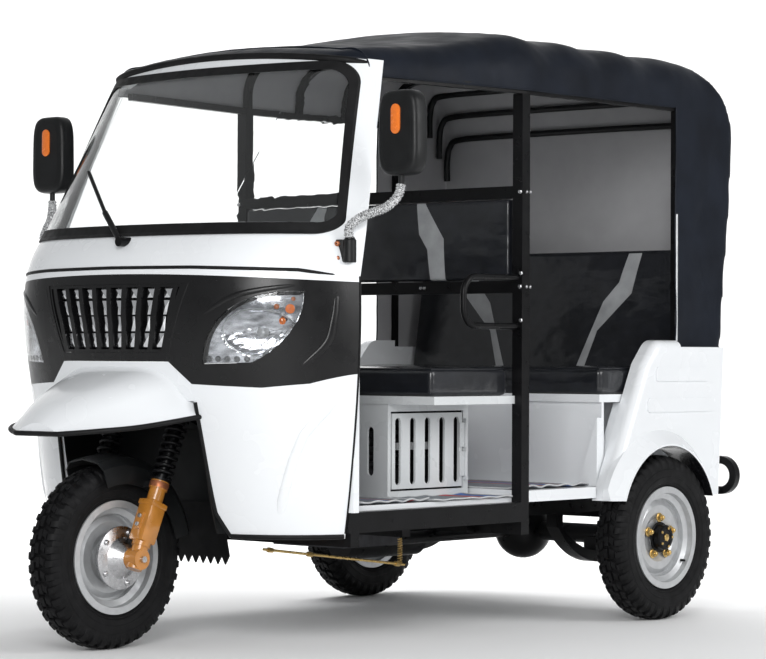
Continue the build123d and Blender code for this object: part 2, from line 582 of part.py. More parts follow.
# Mirrors on bent arms
head_face = RectangleRounded(MIRROR_WIDTH, MIRROR_HIGH - MIRROR_LOW, 52)
head_face = Pos(MIRROR_X, (MIRROR_LOW + MIRROR_HIGH) / 2) * head_face
head = front_prism(head_face, MIRROR_Y - MIRROR_THICK / 2, MIRROR_Y + MIRROR_THICK / 2)
head = fillet(head.faces().sort_by(Axis.Y)[0].edges(), 18)
arm = bent_tube([(600, MIRROR_Y - 105, 1181), (648, MIRROR_Y - 118, 1186), (655, MIRROR_Y - 110, 1238),
                 (MIRROR_X - 7, MIRROR_Y - 10, 1285), (MIRROR_X, MIRROR_Y, MIRROR_LOW + 25)],
                MIRROR_ARM, 24)
mirror_set = head + arm - nose_form(-SEAT_GAP)
save("mirrors", pair(mirror_set.solids().sort_by(SortBy.VOLUME)[-1]))

# Hood and the posts and rails under it
hood = hood_form(0, FLAP_Z + SEAT_GAP) - hood_form(HOOD_WALL, FLAP_Z - 30)
hood -= block((-800, 800), (-2000, FLAP_Y), (500, EAVE_Z))
hood -= nose_form(-SEAT_GAP) & header_crown(-SEAT_GAP)
save("hood_canopy", [hood])

RAIL_Z = EAVE_Z - 12
bows = []
for station in (BULKHEAD_Y + RAIL_TUBE, BULKHEAD_Y + 280, BULKHEAD_Y + 540, REAR_AXLE_Y + 140):
    reach = HOOD_WALL + SEAT_GAP
    section = hood_outline(station, reach, RAIL_Z + RAIL_TUBE) - hood_outline(station, reach + RAIL_TUBE, 1000)
    plane = Plane((0, station + RAIL_TUBE / 2, 0), x_dir=(1, 0, 0), z_dir=(0, -1, 0))
    bows.append(extrude(plane * section, amount=RAIL_TUBE))
save("hood_bows", bows)

stations = (FRONT_AXLE_Y + 600, BULKHEAD_Y, REAR_AXLE_Y + 300)
outside = [(hood_half(station), station) for station in stations]
inside = [(x - RAIL_TUBE, y) for x, y in reversed(outside)]
hood_rail = extrude(Pos(0, 0, RAIL_Z) * make_face(Polyline(*outside, *inside, close=True)), RAIL_TUBE)
save("hood_rails", pair(hood_rail))

POST_Y = (BULKHEAD_Y - POST / 2, BULKHEAD_Y + POST / 2)
post = block((SILL_X - POST / 2, SILL_X + POST / 2), POST_Y, (RAIL_BOTTOM, RAIL_Z))
upright_x = hood_half(REAR_AXLE_Y + 142)
upright = block((upright_x - 20, upright_x - 2), (REAR_AXLE_Y + 133, REAR_AXLE_Y + 151), (FLAP_Z, RAIL_Z))
save("cab_posts", pair(post) + pair(upright))

cross = []
for height in BULKHEAD_RAILS:
    rail_x = SILL_X - POST / 2
    cross.append(block((-rail_x, rail_x), POST_Y, (height - POST / 2, height + POST / 2)))
save("bulkhead_rails", cross)
rest_half = SILL_X - POST / 2 - 8
rest_z = (BULKHEAD_RAILS[0] + POST / 2, BULKHEAD_RAILS[1] - POST / 2)
save("driver_backrest", [block((-rest_half, rest_half), (BULKHEAD_Y - 30, BULKHEAD_Y + 10), rest_z)])
handle_y = BULKHEAD_Y - POST / 2
handle = bent_tube([(SILL_X, handle_y, 1100), (SILL_X, handle_y - 262, 1100), (SILL_X, handle_y - 262, 950),
                    (SILL_X, handle_y, 950)], 10, 55)
save("grab_handles", pair(handle))

# Driver's seat over the engine
SEAT_SKIN = 8.0
box_low = FLOOR_Z + 15
box_rear = BULKHEAD_Y - POST / 2
box = block((-SEAT_BOX_HALF, SEAT_BOX_HALF), (SEAT_FRONT_Y, box_rear), (box_low, SEAT_Z - 25))
box_inner = SEAT_BOX_HALF - SEAT_SKIN
box -= block((-box_inner, box_inner), (SEAT_FRONT_Y + SEAT_SKIN, box_rear - SEAT_SKIN), (box_low - 10, SEAT_Z))
SLOT_Z = (box_low + SEAT_Z - 25) / 2
slot = SlotOverall(150, 26, rotation=90)
side_slot = SlotOverall(205, 26, rotation=90)
slot_pitch = 70.0
for index in range(5):
    box -= front_prism(Pos((index - 2) * 165, SLOT_Z) * slot, SEAT_FRONT_Y - 5, SEAT_FRONT_Y + SEAT_SKIN + 5)
box += block((-SILL_X + 8, SILL_X - 8), (SEAT_FRONT_Y - 4, box_rear), (SEAT_Z - 25, SEAT_Z))
opening_y = (SEAT_FRONT_Y + 14, box_rear - 24)
opening_z = (box_low + 24, SEAT_Z - 48)
box -= block((SEAT_BOX_HALF - 20, SEAT_BOX_HALF + 20), opening_y, opening_z)
door_y = (opening_y[0] + DOOR_GAP, opening_y[1] - DOOR_GAP)
door_z = (opening_z[0] + DOOR_GAP, opening_z[1] - DOOR_GAP)
door_mid = (door_y[0] + door_y[1]) / 2
door = block((SEAT_BOX_HALF - SEAT_SKIN, SEAT_BOX_HALF), door_y, door_z)
side_slots = Plane.YZ.offset(SEAT_BOX_HALF - 20)
for index in range(5):
    centre_y = door_mid + (index - 2) * slot_pitch
    door -= extrude(side_slots * Pos(centre_y, SLOT_Z) * side_slot, amount=40)
    box -= extrude(Plane.YZ.offset(-SEAT_BOX_HALF - 20) * Pos(centre_y, SLOT_Z) * side_slot, amount=40)
PIN_X, PIN_Y = SEAT_BOX_HALF + 7, opening_y[1] + 6
hinge_low = door_z[0] + 25
hinge_high = door_z[1] - 25
hinge_mid = (hinge_low + hinge_high) / 2
box += rod((PIN_X, PIN_Y, hinge_low), (PIN_X, PIN_Y, hinge_high), 3)
for height in (hinge_low, hinge_mid, hinge_high):
    box += block((SEAT_BOX_HALF, PIN_X + 5), (PIN_Y - 5, PIN_Y + 5), (height - 5, height + 5))
for low, high in ((hinge_low + 7, hinge_mid - 7), (hinge_mid + 7, hinge_high - 7)):
    knuckle = rod((PIN_X, PIN_Y, low), (PIN_X, PIN_Y, high), 5.5)
    knuckle += block((SEAT_BOX_HALF, PIN_X - 2), (door_y[1] - 16, door_y[1]), (low, high))
    knuckle += block((SEAT_BOX_HALF + 2, PIN_X - 2), (door_y[1] - 1, PIN_Y), (low, high))
    knuckle -= rod((PIN_X, PIN_Y, low - 1), (PIN_X, PIN_Y, high + 1), 3 + SEAT_GAP)
    door += knuckle
save("seat_box", [box])
save("seat_box_door", [door])
cushion_half = SILL_X - 22
cushion = block((-cushion_half, cushion_half), (SEAT_FRONT_Y, box_rear - 8), (SEAT_Z, SEAT_Z + CUSHION))
save("driver_cushion", [cushion])

ENGINE_TOP = SEAT_Z - 75
FIN_PITCH = 24.0
engine = block((-150, 150), (ENGINE_FRONT, ENGINE_REAR), (CROSS_BOTTOM - 50, ENGINE_TOP))
for index in range(6):
    fin_low = ENGINE_TOP - 30 - index * FIN_PITCH
    slit = block((-160, 160), (ENGINE_FRONT - 5, ENGINE_REAR + 5), (fin_low - 12, fin_low))
    engine -= slit - block((-120, 120), (ENGINE_FRONT + 30, ENGINE_REAR - 30), (fin_low - 20, fin_low + 10))
save("engine_block", [engine])

# Rear bench
BENCH_HALF = QUARTER_IN - 5
bench_rear = REAR_AXLE_Y + 300
bench = block((-BENCH_HALF, BENCH_HALF), (RISER_Y, RISER_Y + 12), (REAR_FLOOR_TOP, SEAT_Z))
bench += block((-BENCH_HALF, BENCH_HALF), (RISER_Y - 12, bench_rear), (SEAT_Z - 25, SEAT_Z))
wheel_house = make_face(Polyline((515, REAR_FLOOR_TOP), (BENCH_HALF - 2, 660), (BENCH_HALF, 660),
                                 (BENCH_HALF, REAR_FLOOR_TOP), close=True))
wheel_house = front_prism(wheel_house, RISER_Y - 25, RISER_Y + 6)
bench += wheel_house + mirrored(wheel_house)
save("rear_bench", [bench])
cushion_rear = REAR_AXLE_Y + 190
cushion = block((-BENCH_HALF, BENCH_HALF), (RISER_Y - 10, cushion_rear), (SEAT_Z, SEAT_Z + CUSHION + 2))
save("rear_cushion", [cushion])
rest = side_prism([(cushion_rear + 2, SEAT_Z), (cushion_rear + 82, 1222), (cushion_rear + 148, 1210),
                   (bench_rear - 6, SEAT_Z)], -BENCH_HALF, BENCH_HALF)
save("rear_backrest", [rest])

# Quarter panels, tail panel and bumper
side = [(REAR_AXLE_Y - 287, QUARTER_LOW), (REAR_AXLE_Y - 75, 835), (REAR_AXLE_Y - 5, QUARTER_TOP),
        (REAR_AXLE_Y + 370, QUARTER_TOP), (REAR_AXLE_Y + 340, QUARTER_LOW)]
outline = make_face(Polyline(*side, close=True))
outline = fillet(outline.vertices().sort_by(Axis.X)[1:3], 70)
quarter = extrude(Plane.YZ.offset(QUARTER_IN) * outline, amount=QUARTER_OUT - QUARTER_IN)
outer_face = quarter.faces().sort_by(Axis.X)[-1]
lip_edges = outer_face.edges().filter_by(lambda edge: edge.center().Z > QUARTER_LOW + 20)
lip_edges = lip_edges.filter_by(lambda edge: edge.center().Y < REAR_AXLE_Y + 300)
quarter = fillet(lip_edges, QUARTER_LIP)
quarter -= block((0, 900), (FLAP_Y - 6, TAIL_Y), (FLAP_Z, QUARTER_TOP + 50))
RIB_FRONTS = ((-22.0, 279.0, 800.0), (-69.0, 308.0, 699.0))
for front, rear, height in RIB_FRONTS:
    rib = Pos(REAR_AXLE_Y + (front + rear) / 2, height) * RectangleRounded(rear - front, 46, 12)
    quarter += extrude(Plane.YZ.offset(QUARTER_OUT - 1) * rib, amount=5)
flare_x = QUARTER_OUT + ARCH_FLARE
flare_root = ARCH_RADIUS + 52
flare = spin([(QUARTER_OUT - 20, ARCH_RADIUS - 5), (QUARTER_OUT - 20, flare_root), (QUARTER_OUT, flare_root),
              (flare_x - 10, ARCH_RADIUS + 18), (flare_x, ARCH_RADIUS + 8), (flare_x, ARCH_RADIUS - 5)],
             (0, REAR_AXLE_Y, ARCH_Z))
quarter += flare & block((0, 900), (REAR_AXLE_Y - 283, REAR_AXLE_Y + 335), (QUARTER_LOW, FLAP_Z))
quarter -= rod((QUARTER_IN - 20, REAR_AXLE_Y, ARCH_Z), (flare_x + 20, REAR_AXLE_Y, ARCH_Z), ARCH_RADIUS)
quarter = quarter.solids().sort_by(SortBy.VOLUME)[-1]
save("quarter_panels", pair(quarter))
tail = side_prism([(TAIL_TOP_Y - TAIL_SKIN, FLAP_Z), (TAIL_TOP_Y, FLAP_Z), (TAIL_LOW_Y, TAIL_LOW),
                   (TAIL_LOW_Y - TAIL_SKIN, TAIL_LOW)], -QUARTER_IN, QUARTER_IN)
save("tail_panel", [tail])

lamp_low, lamp_high = TAIL_LAMP_Z
lamp = side_prism([(tail_face(lamp_low), lamp_low), (tail_face(lamp_high), lamp_high),
                   (tail_face(lamp_high) + 30, lamp_high), (tail_face(lamp_low) + 34, lamp_low)], *TAIL_LAMP_X)
save("tail_lamps", pair(lamp))
ring_face = SlotOverall(BUMPER_WIDTH, BUMPER_HEIGHT)
ring_face -= SlotOverall(BUMPER_WIDTH - 2 * BUMPER_TUBE, BUMPER_HEIGHT - 2 * BUMPER_TUBE)
bumper = front_prism(Pos(0, BUMPER_Z) * ring_face, TAIL_Y - BUMPER_TUBE, TAIL_Y)
for place in (-BUMPER_STAY_X, BUMPER_STAY_X):
    bumper += side_prism([(tail_face(425), 425), (tail_face(485), 485), (BUMPER_Y + 5, 514), (BUMPER_Y + 5, 396)],
                         place - 20, place + 20)
save("rear_bumper", [bumper])

# Rear axle, springs and exhaust
BACKPLATE_X = REAR_TRACK / 2 - 62
rear_axle = rod((-BACKPLATE_X, REAR_AXLE_Y, AXLE_Z), (BACKPLATE_X, REAR_AXLE_Y, AXLE_Z), AXLE_TUBE)
rear_axle += Pos(90, REAR_AXLE_Y, AXLE_Z) * Sphere(96)
rear_axle += rod((90, ENGINE_REAR + SEAT_GAP, AXLE_Z), (90, REAR_AXLE_Y, AXLE_Z), 20)
for sign in (-1, 1):
    root = (sign * (BACKPLATE_X - 8), REAR_AXLE_Y, AXLE_Z)
    rear_axle += rod(root, (sign * BACKPLATE_X, REAR_AXLE_Y, AXLE_Z), 110)
    rear_axle += rod(root, (sign * (REAR_TRACK / 2 + 30), REAR_AXLE_Y, AXLE_Z), SPINDLE_RADIUS)
save("rear_axle", [rear_axle])

leaf_end = RAIL_BOTTOM - 23
leaf_mid = AXLE_Z - 56
leaf_front, leaf_rear = REAR_AXLE_Y - LEAF_HALF, REAR_AXLE_Y + LEAF_HALF
leaf_top = ThreePointArc((leaf_front, leaf_end), (REAR_AXLE_Y, leaf_mid), (leaf_rear, leaf_end))
leaf_low = ThreePointArc((leaf_rear, leaf_end - 22), (REAR_AXLE_Y, leaf_mid - 36), (leaf_front, leaf_end - 22))
ends = [Line(leaf_top @ 1, leaf_low @ 0), Line(leaf_low @ 1, leaf_top @ 0)]
leaf_face = make_face([leaf_top, leaf_low] + ends)
leaf = extrude(Plane.YZ.offset(RAIL_X - LEAF_WIDTH / 2) * leaf_face, amount=LEAF_WIDTH)
for end in (-1, 1):
    eye = REAR_AXLE_Y + end * (LEAF_HALF - 12)
    leaf += block((RAIL_X - 20, RAIL_X + 20), (eye - 18, eye + 18), (leaf_end - 22, RAIL_BOTTOM))
leaf += block((RAIL_X - 25, RAIL_X + 25), (REAR_AXLE_Y - 36, REAR_AXLE_Y + 36), (leaf_mid - 12, leaf_mid + 46))
leaf -= rod((0, REAR_AXLE_Y, AXLE_Z), (900, REAR_AXLE_Y, AXLE_Z), AXLE_TUBE + SEAT_GAP)
save("leaf_springs", pair(leaf))

MUFFLER_Z = CROSS_BOTTOM - 70
muffler_front, muffler_rear = BULKHEAD_Y + 60, REAR_AXLE_Y - 220
muffler = rod((MUFFLER_X, muffler_front, MUFFLER_Z), (MUFFLER_X, muffler_rear, MUFFLER_Z), MUFFLER_RADIUS)
hanger_y = (MIDDLE_MEMBER_Y - 15, MIDDLE_MEMBER_Y + 15)
muffler += block((MUFFLER_X - 15, MUFFLER_X + 15), hanger_y, (MUFFLER_Z, CROSS_BOTTOM))
muffler += rod((MUFFLER_X, muffler_rear - 10, MUFFLER_Z), (MUFFLER_X, muffler_rear + 110, MUFFLER_Z), 16)
save("exhaust", [muffler])
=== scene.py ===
"""Finish, soft goods and studio for a passenger auto rickshaw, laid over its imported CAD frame."""
import json
import math

import bmesh
import bpy
from bpy.props import FloatProperty, FloatVectorProperty, IntProperty, PointerProperty
from mathutils import Matrix, Vector, noise
from mathutils.bvhtree import BVHTree


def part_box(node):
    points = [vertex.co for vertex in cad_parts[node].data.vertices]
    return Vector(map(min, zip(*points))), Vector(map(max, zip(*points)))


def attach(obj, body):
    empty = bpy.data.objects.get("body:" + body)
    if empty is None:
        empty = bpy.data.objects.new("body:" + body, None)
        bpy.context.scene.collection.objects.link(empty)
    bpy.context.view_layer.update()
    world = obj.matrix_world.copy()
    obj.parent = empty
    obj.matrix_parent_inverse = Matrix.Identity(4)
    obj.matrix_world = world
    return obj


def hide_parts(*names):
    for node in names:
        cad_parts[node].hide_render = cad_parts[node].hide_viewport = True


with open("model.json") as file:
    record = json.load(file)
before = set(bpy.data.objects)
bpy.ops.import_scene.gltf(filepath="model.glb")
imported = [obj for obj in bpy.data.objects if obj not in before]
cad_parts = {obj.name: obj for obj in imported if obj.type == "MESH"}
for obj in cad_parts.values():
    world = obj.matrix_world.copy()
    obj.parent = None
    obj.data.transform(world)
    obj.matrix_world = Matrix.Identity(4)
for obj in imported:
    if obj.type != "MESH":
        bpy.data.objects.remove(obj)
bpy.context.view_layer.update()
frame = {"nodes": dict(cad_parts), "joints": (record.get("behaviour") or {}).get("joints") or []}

bl_info = {
    "name": "Auto Rickshaw Finish",
    "version": (1, 0, 0),
    "blender": (4, 5, 0),
    "location": "3D View > Sidebar > Rickshaw",
    "description": "Finish, soft goods and studio for a packed auto rickshaw",
    "category": "Object",
}

NODES = frame["nodes"]
JOINTS = {joint["name"]: joint for joint in frame["joints"]}
X_AXIS = Vector((1.0, 0.0, 0.0))
Y_AXIS = Vector((0.0, 1.0, 0.0))
Z_AXIS = Vector((0.0, 0.0, 1.0))
FRONT_HUB = Vector(JOINTS["front_wheel_spin"]["pos_m"])
REAR_HUB_LEFT = Vector(JOINTS["rear_left_wheel_spin"]["pos_m"])
REAR_HUB_RIGHT = Vector(JOINTS["rear_right_wheel_spin"]["pos_m"])
FORK_UP = Vector(JOINTS["steering"]["axis"]).normalized()
FORK_BACK = Vector((0.0, FORK_UP.z, -FORK_UP.y))

# Places taken from the frame, so that a change of the CAD sizes moves the finish with it
TYRE_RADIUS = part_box("front_tyre")[1].z - FRONT_HUB.z
TYRE_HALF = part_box("front_tyre")[1].x
HOOD_LOW, HOOD_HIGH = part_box("hood_canopy")
ARCH_HEIGHT = 0.310
ARCH_RADIUS = 0.256
SEAT_BOX_HALF = 0.400
SEAT_BOX_Y = (-0.2365, 0.1485)
SEAT_BOX_SKIN = 0.0075


class RickshawColours(bpy.types.PropertyGroup):
    """Colours of the finish."""

    body_white: FloatVectorProperty(
        name="Body white", description="Gloss paint of the shell", subtype="COLOR", size=3,
        default=(0.79, 0.81, 0.83))
    canvas: FloatVectorProperty(
        name="Canvas", description="Outside of the hood", subtype="COLOR", size=3,
        default=(0.0075, 0.0098, 0.0155))
    lining: FloatVectorProperty(
        name="Lining", description="Inside of the hood", subtype="COLOR", size=3,
        default=(0.35, 0.35, 0.36))
    vinyl: FloatVectorProperty(
        name="Vinyl", description="Black seat cover", subtype="COLOR", size=3,
        default=(0.008, 0.009, 0.012))
    insert: FloatVectorProperty(
        name="Insert", description="Grey seat insert", subtype="COLOR", size=3,
        default=(0.34, 0.35, 0.36))
    fork: FloatVectorProperty(
        name="Fork", description="Golden orange paint of the fork legs", subtype="COLOR", size=3,
        default=(0.45, 0.18, 0.026))
    gold: FloatVectorProperty(
        name="Gold zinc", description="Plated nuts and rods", subtype="COLOR", size=3,
        default=(0.62, 0.43, 0.16))
    silver: FloatVectorProperty(
        name="Silver", description="Wheel paint", subtype="COLOR", size=3,
        default=(0.50, 0.51, 0.52))
    mat: FloatVectorProperty(
        name="Mat", description="Floor mat", subtype="COLOR", size=3, default=(0.20, 0.215, 0.235))
    amber: FloatVectorProperty(
        name="Amber", description="Side reflectors", subtype="COLOR", size=3, default=(0.78, 0.17, 0.006))
    red: FloatVectorProperty(
        name="Red", description="Tail lamps", subtype="COLOR", size=3, default=(0.50, 0.010, 0.012))


class RickshawForms(bpy.types.PropertyGroup):
    """Sizes of the modelled finish."""

    tread_pitch: IntProperty(name="Tread pitch", description="Lugs round a tyre", default=42, min=12, max=90)
    tread_depth: FloatProperty(
        name="Tread depth", description="Height of the lugs", default=0.009, unit="LENGTH")
    canvas_voxel: FloatProperty(
        name="Canvas mesh", description="Edge length of the canvas mesh", default=0.014, unit="LENGTH")
    canvas_sag: FloatProperty(
        name="Canvas sag", description="Sag between the bows", default=0.010, unit="LENGTH")
    canvas_fold: FloatProperty(
        name="Canvas folds", description="Height of the folds in the flaps", default=0.009, unit="LENGTH")
    cushion_voxel: FloatProperty(
        name="Cushion mesh", description="Edge length of the cushion mesh", default=0.0075, unit="LENGTH")
    cushion_pressure: FloatProperty(
        name="Cushion pressure", description="Pressure in the cloth simulation", default=4.0)
    cushion_rise: FloatProperty(
        name="Cushion rise", description="Most that a cushion swells", default=0.016, unit="LENGTH")


class RickshawStudio(bpy.types.PropertyGroup):
    """Camera and light."""

    eye: FloatVectorProperty(
        name="Eye", description="Place of the camera", subtype="TRANSLATION", unit="LENGTH", size=3,
        default=(5.919, -6.5995, 0.862))
    azimuth: FloatProperty(
        name="Azimuth", description="Turn of the camera about the upright", subtype="ANGLE",
        default=math.radians(41.0439))
    pitch: FloatProperty(
        name="Pitch", description="Height angle of the camera", subtype="ANGLE",
        default=math.radians(-0.511))
    roll: FloatProperty(
        name="Roll", description="Roll of the camera", subtype="ANGLE", default=math.radians(0.2327))
    lens: FloatProperty(name="Lens", description="Focal length in millimetres", default=130.16)
    sky: FloatProperty(name="Sky", description="Strength of the even light", default=0.36)
    key: FloatProperty(name="Key", description="Watts of the key light", default=285.0)
    fill: FloatProperty(name="Fill", description="Watts of the side light", default=170.0)
    wall: FloatProperty(name="Wall", description="Watts of the light on the backdrop", default=900.0)


def colours():
    """The colours set in the panel."""
    return bpy.context.scene.rickshaw_colours


def forms():
    """The shape settings set in the panel."""
    return bpy.context.scene.rickshaw_forms


# Surfaces

class Surface:
    """A Principled material whose looks come from textures in the piece's own coordinates."""

    made = {}

    def __init__(self, name, **constants):
        self.material = bpy.data.materials.new(name)
        self.material.use_nodes = True
        self.nodes = self.material.node_tree.nodes
        self.links = self.material.node_tree.links
        self.shader = self.nodes["Principled BSDF"]
        self.place = self.nodes.new("ShaderNodeTexCoord").outputs["Object"]
        self.height = None
        self.split = None
        for socket, value in constants.items():
            self.shader.inputs[socket.replace("_", " ")].default_value = value
        Surface.made[name] = self.material

    def noise(self, scale, detail=3.0, stretch=(1.0, 1.0, 1.0)):
        """Noise of that many cells a metre."""
        mapping = self.nodes.new("ShaderNodeMapping")
        mapping.inputs["Scale"].default_value = stretch
        texture = self.nodes.new("ShaderNodeTexNoise")
        texture.inputs["Scale"].default_value = scale
        texture.inputs["Detail"].default_value = detail
        self.links.new(self.place, mapping.inputs["Vector"])
        self.links.new(mapping.outputs["Vector"], texture.inputs["Vector"])
        return texture.outputs["Fac"]

    def wave(self, scale, direction, distortion=0.0):
        """Even stripes along one axis."""
        texture = self.nodes.new("ShaderNodeTexWave")
        texture.bands_direction = direction
        texture.inputs["Scale"].default_value = scale
        texture.inputs["Distortion"].default_value = distortion
        self.links.new(self.place, texture.inputs["Vector"])
        return texture.outputs["Fac"]

    def ramp(self, factor, stops):
        """A colour ramp over a factor."""
        node = self.nodes.new("ShaderNodeValToRGB")
        elements = node.color_ramp.elements
        while len(elements) < len(stops):
            elements.new(1.0)
        for element, (at, colour) in zip(elements, stops):
            element.position = at
            element.color = (*colour, 1.0)
        self.links.new(factor, node.inputs["Fac"])
        return node.outputs["Color"]

    def mottle(self, colour, amount, scale, detail=3.0, stretch=(1.0, 1.0, 1.0)):
        """Base colour that drifts a little either way of one colour."""
        dark = tuple(c * (1.0 - amount) for c in colour)
        light = tuple(min(1.0, c * (1.0 + amount)) for c in colour)
        tinted = self.ramp(self.noise(scale, detail, stretch), ((0.3, dark), (0.7, light)))
        self.links.new(tinted, self.shader.inputs["Base Color"])
        return self

    def along(self, axis):
        """One of the piece's own coordinates."""
        if self.split is None:
            self.split = self.nodes.new("ShaderNodeSeparateXYZ")
            self.links.new(self.place, self.split.inputs["Vector"])
        return self.split.outputs[axis]

    def sum(self, operation, first, second=0.0):
        """A sum on coordinates and plain values."""
        node = self.nodes.new("ShaderNodeMath")
        node.operation = operation
        for socket, value in zip(node.inputs, (first, second)):
            if isinstance(value, float):
                socket.default_value = value
            else:
                self.links.new(value, socket)
        return node.outputs["Value"]

    def within(self, axis, low, high):
        """One where a coordinate lies between two values."""
        above = self.sum("GREATER_THAN", self.along(axis), low)
        below = self.sum("LESS_THAN", self.along(axis), high)
        return self.sum("MULTIPLY", above, below)

    def stain(self, mask, colour):
        """Another base colour where a mask is one."""
        node = self.nodes.new("ShaderNodeMix")
        node.data_type = "RGBA"
        before = self.shader.inputs["Base Color"].links[0].from_socket
        self.links.new(mask, node.inputs[0])
        self.links.new(before, node.inputs[6])
        node.inputs[7].default_value = (*colour, 1.0)
        self.links.new(node.outputs[2], self.shader.inputs["Base Color"])
        return self

    def gloss(self, low, high, scale, detail=2.0, stretch=(1.0, 1.0, 1.0)):
        """Roughness between two values."""
        node = self.nodes.new("ShaderNodeMapRange")
        node.inputs["From Min"].default_value = 0.3
        node.inputs["From Max"].default_value = 0.7
        node.inputs["To Min"].default_value = low
        node.inputs["To Max"].default_value = high
        self.links.new(self.noise(scale, detail, stretch), node.inputs["Value"])
        self.links.new(node.outputs["Result"], self.shader.inputs["Roughness"])
        return self

    def grain(self, factor, strength, distance, socket="Normal"):
        """A fine relief too small to model."""
        bump = self.nodes.new("ShaderNodeBump")
        bump.inputs["Strength"].default_value = strength
        bump.inputs["Distance"].default_value = distance
        self.links.new(factor, bump.inputs["Height"])
        if self.height is not None:
            self.links.new(self.height, bump.inputs["Normal"])
        self.height = bump.outputs["Normal"]
        self.links.new(self.height, self.shader.inputs[socket])
        return self


